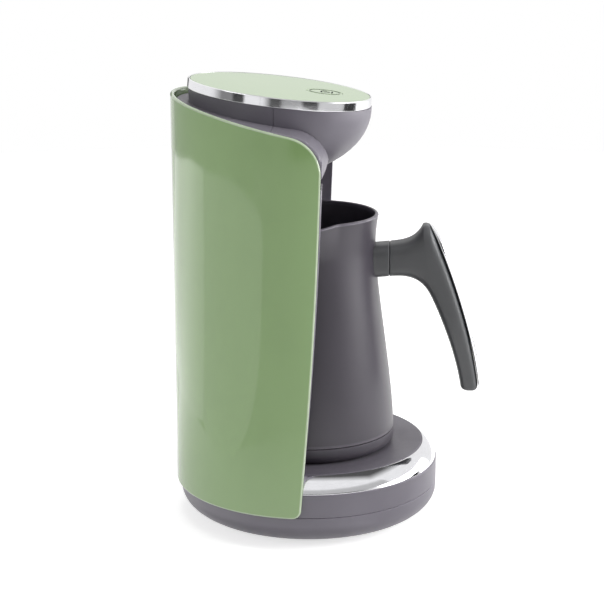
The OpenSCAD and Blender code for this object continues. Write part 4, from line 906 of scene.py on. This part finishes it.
def control_plate():
    """Top plate with its skirt, the hole of the start key and the posts for the board."""
    n, edge_r, lip_r, rim_r = 192, 0.4, 0.3, 48.95
    hole = KEY_R + KEY_GAP

    def eccentric(r, z, share):
        """Circle moved from the plate's middle toward the key's by a share."""
        return circle(r, z, n, -KEY_Y * share)
    edge = [math.pi / 2 * i / 6 for i in range(7)]
    lip = [math.pi / 2 * i / 4 for i in range(5)]
    rings = [eccentric(SKIRT_IN_R, SKIRT_END, 0), eccentric(rim_r + edge_r, SKIRT_END, 0)]
    rings += [eccentric(rim_r + edge_r * math.sin(a), PLATE_TOP - edge_r * (1 - math.cos(a)), 0)
              for a in edge[::-1]]
    rings += [eccentric(rim_r + (hole + lip_r - rim_r) * k / 12, PLATE_TOP, k / 12) for k in range(1, 12)]
    rings += [eccentric(hole + lip_r * (1 - math.sin(a)), PLATE_TOP - lip_r * (1 - math.cos(a)), 1)
              for a in lip]
    rings += [eccentric(hole + (SKIRT_IN_R - hole) * k / 8, PLATE_UNDER, 1 - k / 8) for k in range(9)]
    mesh = closed_mesh("control_plate", *skin_over(rings, loop=True), HEAD_PLACE)
    bm = bmesh.new()
    bm.from_mesh(mesh)
    post = [(0, -2.0), (3, -2.0), (3, -8.7), (2.7, -9.0), (1.1, -9.0), (1.1, -4.0), (0, -4.0)]
    points, faces = skin_over(turned(post, 32))
    for (x, y, _), _ in spaced(3, BOARD_SCREW_R, 0.0, None, 90):
        verts = [bm.verts.new(HEAD_PLACE @ ((Vector(p) + Vector((x, y, 0))) * MM)) for p in points]
        made = [bm.faces.new([verts[i] for i in f]) for f in faces]
        bmesh.ops.remove_doubles(bm, verts=verts, dist=SAME_PLACE)
        bmesh.ops.recalc_face_normals(bm, faces=[f for f in made if f.is_valid])
    bm.to_mesh(mesh)
    bm.free()
    stand_in("control_plate", "moulded", mesh, 35)


def start_key():
    """Round key with its flange under the plate and the boss that meets the plunger."""
    flange_r, flange_top, flange_under, boss_r, boss_end = 11.0, -2.35, -3.15, 3.0, -4.5
    profile = rounded([(0, PLATE_TOP, 0), (KEY_R, PLATE_TOP, 0.4), (KEY_R, flange_top, 0.1),
                       (flange_r, flange_top, 0.2), (flange_r, flange_under, 0.2),
                       (boss_r, flange_under, 0.3), (boss_r, boss_end, 0.3), (0, boss_end, 0)])
    ringed("start_key", "moulded", turned(profile, 128), 35, at=KEY_PLACE)


def base_trim_ring():
    """The bevelled ring round the tray, from one side of the column to the other."""
    def bow(p, q, s=1.1, n=16):
        p, q = Vector(p), Vector(q)
        d = q - p
        r = (d.length ** 2 / 4 + s * s) / (2 * s)
        side = Vector((d[1], -d[0])).normalized()
        c = (p + q) / 2 - side * (r - s)
        a, h = math.atan2(side[1], side[0]), math.asin(d.length / 2 / r)
        turns = [a - h + 2 * h * i / n for i in range(n + 1)]
        return [(c[0] + r * math.cos(turn), c[1] + r * math.sin(turn), 0) for turn in turns]
    outer = bow((TRIM_R, TRIM_FOOT_Z), (TRAY_R, TRAY_Z))
    inner = bow((TRIM_R - 1.2, TRIM_FOOT_Z), (TRAY_R, TRAY_Z - 1.6))
    outer[0], outer[-1] = (*outer[0][:2], 0.3), (*outer[-1][:2], 0.4)
    profile = rounded(outer + inner[::-1], 4)
    n, rings = 200, []
    for i in range(n + 1):
        ring = []
        for r, z in profile:
            end = math.asin((-0.95 - 0.05 * (z - TRIM_FOOT_Z)) / r)
            a = -math.pi - end + (2 * end + math.pi) * i / n
            ring.append((r * math.cos(a), r * math.sin(a), z))
        rings.append(ring)
    ringed("base_trim_ring", "plated", rings, 50)


def key_symbol():
    """Generic cup in an open ring, inlaid in the start key."""
    rise, ring_r, ring_width = 0.05, 8.4, 1.15
    bm = bmesh.new()

    def stroke(line, width):
        rows = []
        for k, p in enumerate(line):
            d = (Vector(line[min(k + 1, len(line) - 1)]) - Vector(line[max(k - 1, 0)])).normalized()
            side = Vector((-d[1], d[0])) * width / 2
            corners = [(side, 0.0), (side, rise), (-side, rise), (-side, 0.0)]
            rows.append([bm.verts.new(Vector((*(Vector(p) + s), PLATE_TOP + z)) * MM) for s, z in corners])
        for a, b in zip(rows, rows[1:]):
            for i in range(4):
                bm.faces.new((a[i], a[(i + 1) % 4], b[(i + 1) % 4], b[i]))
        bm.faces.new(rows[0][::-1])
        bm.faces.new(rows[-1])

    def bend(cx, cy, rx, ry, a0, a1, n=40):
        turns = [math.radians(a0 + (a1 - a0) * i / n) for i in range(n + 1)]
        return [(cx + rx * math.cos(a), cy + ry * math.sin(a)) for a in turns]
    for start, end in ((-75, 75), (105, 255)):
        stroke(bend(0, 0, ring_r, ring_r, start, end), ring_width)
    stroke([(-2.6, 1.9), (-2.3, -0.2), (-1.5, -1.9), (0.0, -2.5), (1.5, -1.9), (2.3, -0.2), (2.6, 1.9)], 0.95)
    stroke([(-3.1, 1.9), (3.1, 1.9)], 0.9)
    stroke(bend(3.0, 0.4, 1.3, 1.1, -80, 80, 14), 0.7)
    stroke([(-3.5, -4.0), (3.5, -4.0)], 0.9)
    bmesh.ops.recalc_face_normals(bm, faces=bm.faces)
    bmesh.ops.transform(bm, matrix=KEY_PLACE, verts=bm.verts)
    add_piece("key_symbol", mesh_of("key_symbol", bm), "key", material=symbol_ink("key_ink"))


# ---- Screws and feet, by Geometry Nodes ----

def drawn_out(tree, blank, size, steps):
    """Draws the lower end of a blank out in steps. Each rises by a share of the size, and narrows."""
    mesh, face = blank.outputs["Mesh"], blank.outputs["Bottom"]
    for rise, narrow in steps:
        drawn = node(tree, "GeometryNodeExtrudeMesh", {"Mesh": mesh, "Selection": face, "Individual": False,
                                                       "Offset Scale": times(tree, size, rise)}, mode="FACES")
        face = drawn.outputs["Top"]
        mesh = node(tree, "GeometryNodeScaleElements", {"Geometry": drawn.outputs["Mesh"], "Selection": face,
                                                        "Scale": narrow}, domain="FACE").outputs[0]
    return mesh


def moved(tree, mesh, size, share):
    """Moves a mesh along the screw's axis by a share of a size."""
    shift = node(tree, "ShaderNodeCombineXYZ", {"Z": times(tree, size, share)}).outputs[0]
    return node(tree, "GeometryNodeTransform", {"Geometry": mesh, "Translation": shift}).outputs[0]


def set_out(tree, points, one, finish, out, seed=None):
    """Puts one at each point, along the point's aim, and ends the tree."""
    aim = node(tree, "GeometryNodeInputNamedAttribute", {"Name": "aim"}, data_type="FLOAT_VECTOR").outputs[0]
    turned_to = node(tree, "FunctionNodeAlignRotationToVector", {"Vector": aim}, axis="Z").outputs[0]
    held = node(tree, "GeometryNodeInstanceOnPoints",
                {"Points": points, "Instance": one, "Rotation": turned_to}).outputs[0]
    if seed is not None:
        up_to_half = {2: 0.0, 3: math.pi, "Seed": seed}
        any_turn = node(tree, "FunctionNodeRandomValue", up_to_half, data_type="FLOAT")
        about = node(tree, "ShaderNodeCombineXYZ", {"Z": any_turn.outputs[1]}).outputs[0]
        held = node(tree, "GeometryNodeRotateInstances", {"Instances": held, "Rotation": about}).outputs[0]
    real = node(tree, "GeometryNodeRealizeInstances", {"Geometry": held}).outputs[0]
    finished = node(tree, "GeometryNodeSetMaterial", {"Geometry": real, "Material": finish})
    tree.links.new(finished.outputs[0], out)


def screw_tree():
    """Pan-head screw with a cross recess and a rolled thread. The seat of its head is at the point."""
    sizes = [("Head Radius", "Float", 0.0029), ("Head Height", "Float", 0.0018),
             ("Shank Radius", "Float", 0.0015), ("Shank Length", "Float", 0.014),
             ("Thread Pitch", "Float", 0.0008), ("Recess Width", "Float", 0.0006)]
    t, i, o = group("pan_head_screws", [("Points", "Geometry", None), *sizes, ("Finish", "Material", None),
                                        ("Seed", "Int", 4)], [("Screws", "Geometry")], "GeometryNodeTree")
    high, long = i["Head Height"], i["Shank Length"]
    blank = node(t, "GeometryNodeMeshCylinder", {"Vertices": 32, "Radius": i["Head Radius"],
                                                 "Depth": times(t, high, 0.6)})
    head = moved(t, drawn_out(t, blank, high, ((0.2, 0.95), (0.13, 0.88), (0.07, 0.78))), high, -0.3)
    for along_bar, across_bar, middle in (("X", "Y", -0.85), ("Y", "X", -0.87)):
        size = node(t, "ShaderNodeCombineXYZ", {along_bar: times(t, i["Head Radius"], 1.15),
                                                across_bar: i["Recess Width"], "Z": high}).outputs[0]
        bar = moved(t, node(t, "GeometryNodeMeshCube", {"Size": size}).outputs[0], high, middle)
        head = node(t, "GeometryNodeMeshBoolean", {"Mesh 1": head, "Mesh 2": bar},
                    operation="DIFFERENCE").outputs[0]
    head = node(t, "GeometryNodeMergeByDistance", {"Geometry": head, "Distance": 2e-6}).outputs[0]
    rod = node(t, "GeometryNodeMeshCylinder", {"Vertices": 16, "Side Segments": 56,
                                               "Radius": i["Shank Radius"], "Depth": long}).outputs["Mesh"]
    at = split(t, node(t, "GeometryNodeInputPosition").outputs[0])
    turns = maths(t, "DIVIDE", at["Z"], i["Thread Pitch"])
    turn = maths(t, "SUBTRACT", maths(t, "ARCTAN2", at["Y"], at["X"]), times(t, turns, 2 * math.pi))
    root = node(t, "ShaderNodeMath", {0: maths(t, "SINE", turn), 1: 0.07, 2: 0.93},
                operation="MULTIPLY_ADD").outputs[0]
    left = maths(t, "DIVIDE", maths(t, "SUBTRACT", long, at["Z"]), i["Shank Radius"])
    waist = times(t, root, maths(t, "MINIMUM", plus(t, left, 0.35), 1.0))
    place = node(t, "ShaderNodeCombineXYZ", {"X": times(t, at["X"], waist), "Y": times(t, at["Y"], waist),
                                             "Z": at["Z"]})
    rod = moved(t, rod, long, 0.5)
    thread = node(t, "GeometryNodeSetPosition", {"Geometry": rod, "Position": place.outputs[0]})
    one = node(t, "GeometryNodeJoinGeometry", {0: head})
    t.links.new(thread.outputs[0], one.inputs[0])
    set_out(t, i["Points"], one.outputs[0], i["Finish"], o["Screws"], i["Seed"])
    return t


def foot_tree():
    """Pushed-in rubber foot: rounded edge and two moulded grip rings on its sole."""
    sizes = [("Radius", "Float", 0.007), ("Height", "Float", 0.0025)]
    t, i, o = group("push_in_feet", [("Points", "Geometry", None), *sizes, ("Finish", "Material", None)],
                    [("Feet", "Geometry")], "GeometryNodeTree")
    blank = node(t, "GeometryNodeMeshCylinder", {"Vertices": 72, "Radius": i["Radius"],
                                                 "Depth": times(t, i["Height"], 0.7)})
    edge = ((0.12, 0.985), (0.1, 0.965), (0.08, 0.93), (0.0, 0.8))
    grip_rings = ((-0.12, 0.97), (0.0, 0.84), (0.12, 0.97), (0.0, 0.7), (-0.12, 0.95), (0.0, 0.72),
                  (0.12, 0.95), (0.0, 0.4))
    foot = moved(t, drawn_out(t, blank, i["Height"], edge + grip_rings), i["Height"], 0.65)
    set_out(t, i["Points"], foot, i["Finish"], o["Feet"])
    return t


def set_of(replaced, tree, places, **values):
    """Runs a tree on places (point, aim) in millimetres, and keeps the plain mesh."""
    mesh = bpy.data.meshes.new(replaced)
    mesh.from_pydata([Vector(at) * MM for at, _ in places], [], [])
    aims = mesh.attributes.new("aim", "FLOAT_VECTOR", "POINT")
    for k, (_, aim) in enumerate(places):
        aims.data[k].vector = Vector(aim).normalized()
    holder = placed("holder", mesh)
    step = holder.modifiers.new("set", "NODES")
    step.node_group = tree
    values = {**values, "Finish": FINISHES[SLOT[replaced]]}
    for socket in tree.interface.items_tree:
        key = socket.name.replace(" ", "_")
        if socket.in_out == "INPUT" and key in values:
            step[socket.identifier] = values[key]
    stand_in(replaced, "set", settled(holder), 32)


def spaced(count, radius, z, aim, start=0.0):
    """Places round a circle, all aimed one way."""
    turns = [math.radians(start + 360 / count * k) for k in range(count)]
    return [((radius * math.cos(a), radius * math.sin(a), z), aim) for a in turns]


def screws_and_feet():
    """The screws and the feet, each set on its own seats."""
    screws, feet, up = screw_tree(), foot_tree(), (0, 0, 1)
    base_seat_z, wall_x, wall_y, wall_levels = 6.7, 26, 64.21, (80, 150)
    corner, corner_seat_z = 43.13, 29.8
    connector_r, connector_seat_z = 25.5, 32.8
    pot_r, pot_seat_z, handle_seat = 38.7, 45.2, (0, -71.21, 147.2)
    set_of("base_screws", screws, spaced(4, FEET_R, base_seat_z, up, 45), Shank_Length=0.014)
    across = [((x, wall_y, z), (0, -1, 0)) for x in (-wall_x, wall_x) for z in wall_levels]
    from_below = [((x, corner, corner_seat_z), up) for x in (-corner, corner)]
    set_of("column_screws", screws, across + from_below, Shank_Length=0.012)
    set_of("connector_screws", screws, spaced(3, connector_r, connector_seat_z, up, 90), Head_Radius=0.0025,
           Shank_Length=0.0047)
    board_up = HEAD_PLACE.to_3x3() @ Vector(up)
    on_board = [(HEAD_PLACE @ (Vector(at) * MM) / MM, board_up)
                for at, _ in spaced(3, BOARD_SCREW_R, BOARD_SEAT_Z, up, 90)]
    set_of("board_screws", screws, on_board, Head_Radius=0.0022, Head_Height=0.0012, Shank_Radius=0.001,
           Shank_Length=0.0056, Recess_Width=0.0005)
    set_of("pot_screws", screws, spaced(3, pot_r, pot_seat_z, up, 30), Shank_Length=0.0096)
    set_of("handle_screw", screws, [(handle_seat, (0, 1, 0))], Head_Radius=0.0034, Head_Height=0.0022,
           Shank_Radius=0.002, Shank_Length=0.0312)
    set_of("rubber_feet", feet, spaced(4, FEET_R, 0.0, up))


cover_panel()
pot_vessel()
handle_grip()
handle_boss()
handle_strip()
head_ring()
base_trim_ring()
control_plate()
start_key()
key_symbol()
screws_and_feet()
for name in ("base_pan", "base_shell"):
    soften_node(name, base_edges)
for name in ("front_shell", "rear_shell"):
    soften_node(name, column_edges, crease=17)
for name in ("connector_body", "pot_base_cap", "pot_socket", "cord_gland"):
    soften_node(name, left_sharp)
for name, shown in NODES.items():
    shown.data.materials.clear()
    shown.data.materials.append(FINISHES[SLOT[name]])


# ---- Studio: floor, world and lamps ----

WHITE = (1, 1, 1, 1)
FLOOR_R = 1.35


def where_seen(tree, plain, seen, kind):
    """Ends a tree with one shader for light on the product, and another for the camera, gloss and glass."""
    path = tree.nodes.new("ShaderNodeLightPath").outputs
    looked_at = maths(tree, "MAXIMUM", path["Is Camera Ray"], path["Is Glossy Ray"])
    looked_at = maths(tree, "MAXIMUM", looked_at, path["Is Transmission Ray"])
    mixed = node(tree, "ShaderNodeMixShader", {0: looked_at, 1: plain.outputs[0], 2: seen.outputs[0]})
    end_tree(tree, mixed, kind)


def studio_floor():
    """Matt pale disc that looks white and keeps the product's shadow."""
    bm = bmesh.new()
    bmesh.ops.create_circle(bm, cap_ends=True, segments=96, radius=FLOOR_R)
    floor = placed("floor", mesh_of("floor", bm))
    pale_floor = bpy.data.materials.new("pale_floor")
    tree = empty_tree(pale_floor)
    specks = noise(tree, tree.nodes.new("ShaderNodeTexCoord").outputs["Object"], 40.0, 4.0)
    pale = blend_colour(tree, specks, (0.80, 0.80, 0.80, 1), (0.83, 0.83, 0.82, 1))
    matt = node(tree, "ShaderNodeBsdfDiffuse", {"Color": pale})
    glow = node(tree, "ShaderNodeEmission", {"Strength": 0.65})
    both = node(tree, "ShaderNodeAddShader", {0: matt.outputs[0], 1: glow.outputs[0]})
    where_seen(tree, matt, both, "ShaderNodeOutputMaterial")
    floor.data.materials.append(pale_floor)


def studio_world():
    world = bpy.data.worlds.new("studio")
    bpy.context.scene.world = world
    tree = empty_tree(world)
    ambient = node(tree, "ShaderNodeBackground", {"Color": WHITE, "Strength": 0.25})
    white = node(tree, "ShaderNodeBackground", {"Color": WHITE, "Strength": 1.0})
    where_seen(tree, ambient, white, "ShaderNodeOutputWorld")


def turned_toward(at, to):
    """Turn of a lamp or camera that stands at one place and looks to another."""
    return (Vector(to) - Vector(at)).to_track_quat("-Z", "Y").to_euler()


def softbox(name, at, to, size, watts, glossy):
    """Square lamp, seen in the product's gloss only where glossy says so."""
    lamp = bpy.data.lights.new(name, "AREA")
    lamp.size, lamp.energy = size, watts
    made = placed(name, lamp)
    made.location = at
    made.rotation_euler = turned_toward(at, to)
    made.visible_camera = False
    made.visible_glossy = glossy


# ---- Studio: cards that only the product's gloss shows ----

def card(name, rows):
    """Card whose faces join rows of places, each with its brightness."""
    mesh = bpy.data.meshes.new(name)
    mesh.from_pydata([at for row in rows for at, _ in row], [], grid_faces(len(rows[0]), len(rows)))
    level = mesh.attributes.new("brightness", "FLOAT", "POINT")
    level.data.foreach_set("value", [value for row in rows for _, value in row])
    made = bpy.data.materials.new(name)
    tree = empty_tree(made)
    bright = node(tree, "ShaderNodeAttribute", attribute_name="brightness").outputs["Fac"]
    end_tree(tree, node(tree, "ShaderNodeEmission", {"Strength": bright}))
    mesh.materials.append(made)
    held = placed(name, mesh)
    for way in ("camera", "diffuse", "transmission", "volume_scatter", "shadow"):
        setattr(held, "visible_" + way, False)


def round_product(az, radius, z):
    """Place round the product: az turns from the camera's side to the column's side."""
    a = math.radians(az)
    return (-radius * math.cos(a), radius * math.sin(a), z)


def upright_strip(name, low, high, *steps):
    """Upright card that bends round the product, in steps (azimuth, radius, brightness)."""
    card(name, [[(round_product(az, radius, z), level) for az, radius, level in steps] for z in (low, high)])


def curved(line, n=6):
    """Smooth line through points (x, y, brightness)."""
    out = []
    for k in range(len(line) - 1):
        p, q, r, s = (Vector(line[min(max(k + i, 0), len(line) - 1)]) for i in (-1, 0, 1, 2))
        for t in (i / n for i in range(n)):
            bend, twist = 2 * p - 5 * q + 4 * r - s, 3 * q - p - 3 * r + s
            out.append(0.5 * (2 * q + (r - p) * t + bend * t * t + twist * t ** 3))
    return out + [Vector(line[-1])]


def floor_board(name, near, far, z=0.001):
    """Board on the floor between a near and a far line of points (x, y, brightness)."""
    card(name, [[((x, y, z), level) for x, y, level in curved(line)] for line in (near, far)])


def ring_line(*steps):
    """Line on the floor through steps (azimuth, radius, brightness)."""
    return [(*round_product(az, radius, 0)[:2], level) for az, radius, level in steps]


def panel_boards():
    """Boards on the floor that the gloss of the cover panel shows as tall bands."""
    base = 0.085  # radius, just outside the foot of the product
    floor_board("left_board",
                [(-0.02, 0.25, 1.9), (-0.13, 0.17, 2.0), (-0.32, 0.23, 2.1), (-0.52, 0.35, 2.1),
                 (-0.74, 0.49, 2.1), (-0.81, 0.58, 2.1)],
                [(0.03, 1.27, 2.0), (-0.18, 1.22, 2.1), (-0.41, 1.15, 2.1), (-0.56, 1.05, 2.1),
                 (-0.69, 0.92, 2.1), (-0.81, 0.68, 2.1)])
    floor_board("rear_board", [(-0.02, 0.25, 2.3), (0.12, 0.24, 2.2), (0.28, 0.2, 1.5), (0.4, 0.1, 1.4)],
                [(0.03, 1.27, 2.7), (0.44, 1.24, 2.9), (0.80, 1.03, 2.0), (1.05, 0.8, 1.8)])
    floor_board("near_board",
                ring_line((-40, base, 2.6), (-6, base, 2.6), (28, base, 2.6), (62, base, 2.0),
                          (96, base, 1.2), (130, base, 0.9)),
                ring_line((-40, 0.31, 1.35), (-6, 0.31, 1.35), (28, 0.25, 1.7), (62, 0.222, 2.1),
                          (96, 0.252, 2.1), (130, 0.31, 2.0)), 0.0005)
    floor_board("far_board",
                [(-0.84, 0.72, 1.2), (-0.58, 1.08, 1.25), (-0.42, 1.19, 1.25), (0.03, 1.31, 1.2),
                 (0.46, 1.28, 1.0), (0.83, 1.06, 0.8), (1.08, 0.83, 0.7)],
                [(-1.5, 1.3, 1.1), (-1.1, 2.0, 1.1), (-0.8, 2.3, 1.1), (0.1, 2.5, 1.1), (0.9, 2.4, 1.0),
                 (1.6, 2.0, 0.8), (2.1, 1.6, 0.7)])


def chrome_flags():
    """Dark and grey flags that the plated rings show as bands, and the bright card beside the pot."""
    black, dark, mid, wall = 0.03, 0.04, 0.25, 1.2
    upright_strip("left_flags", 0.13, 0.5, (90, wall, 1), (83, wall, 0.9), (70, wall, mid), (56, wall, mid),
                  (52.5, wall, dark), (41, wall, dark), (38, wall, 1))
    upright_strip("front_flags", 0.03, 0.2, (19, wall, 1), (16, wall, 0.9), (7, wall, 0.1), (-3, wall, 0.08),
                  (-8, wall, 0.38), (-28, 1.05, 0.4), (-32, 1.0, black), (-48.5, 0.85, black),
                  (-52.5, 0.83, 0.65), (-60, 0.79, 0.7))
    upright_strip("corner_flags", 0.02, 0.13, (-60, 0.79, 0.7), (-86, 0.66, 0.7), (-90, 0.64, dark),
                  (-108.5, 0.58, dark), (-113, 0.57, 1))
    upright_strip("rear_flag", 0.12, 0.5, (168, wall, 1), (162, wall, 0.06), (153, wall, 0.06),
                  (147, wall, 1))
    steps = ((21, 1), (14, 0.1), (-15, 0.1), (-44, 0.1), (-64, 1), (-84, 9), (-100, 9), (-116, 9), (-136, 1))
    upright_strip("side_cards", 0.04, 0.5, *((az, 1.3, level) for az, level in steps))


def sky_cards():
    """Greyer sky in front, and the flag that shades the shine over the far side of the base."""
    heights = ((0.52, 0.55), (0.95, 0.6), (1.2, 1.0))
    card("low_sky", [[(round_product(az, 1.4, z), level) for az in range(-80, 31, 10)]
                     for z, level in heights])
    x, y, z, half_x, half_y, fade = 0.4, -0.3, 1.3, 0.35, 0.5, 0.45
    xs, ys = ([-half - fade, -half, half, half + fade] for half in (half_x, half_y))
    card("overhead_flag", [[((x + u, y + v, z), 0.1 if (abs(u), abs(v)) == (half_x, half_y) else 1.0)
                            for v in ys] for u in xs])


studio_floor()
studio_world()
softbox("key_light", (-0.1, -1.4, 0.6), (0, 0, 0.12), 0.8, 20, glossy=False)
softbox("left_light", (-0.9, 1.2, 0.7), (0, 0, 0.12), 0.8, 5, glossy=True)
softbox("top_light", (0.1, 0.0, 1.5), (0, 0, 0.1), 0.9, 9, glossy=False)
panel_boards()
chrome_flags()
sky_cards()


# ---- Camera ----

CAMERA_AT, CAMERA_TO = (-0.90708, -0.05158, 0.3490), (0, 0.0039, 0.1201)
camera_data = bpy.data.cameras.new("camera")
camera_data.lens = 99.3
camera_data.sensor_width = 36
camera_data.clip_end = 20
camera = placed("camera", camera_data)
camera.location = CAMERA_AT
camera.rotation_euler = turned_toward(CAMERA_AT, CAMERA_TO)
bpy.context.scene.camera = camera
bpy.context.scene.view_settings.view_transform = "Standard"
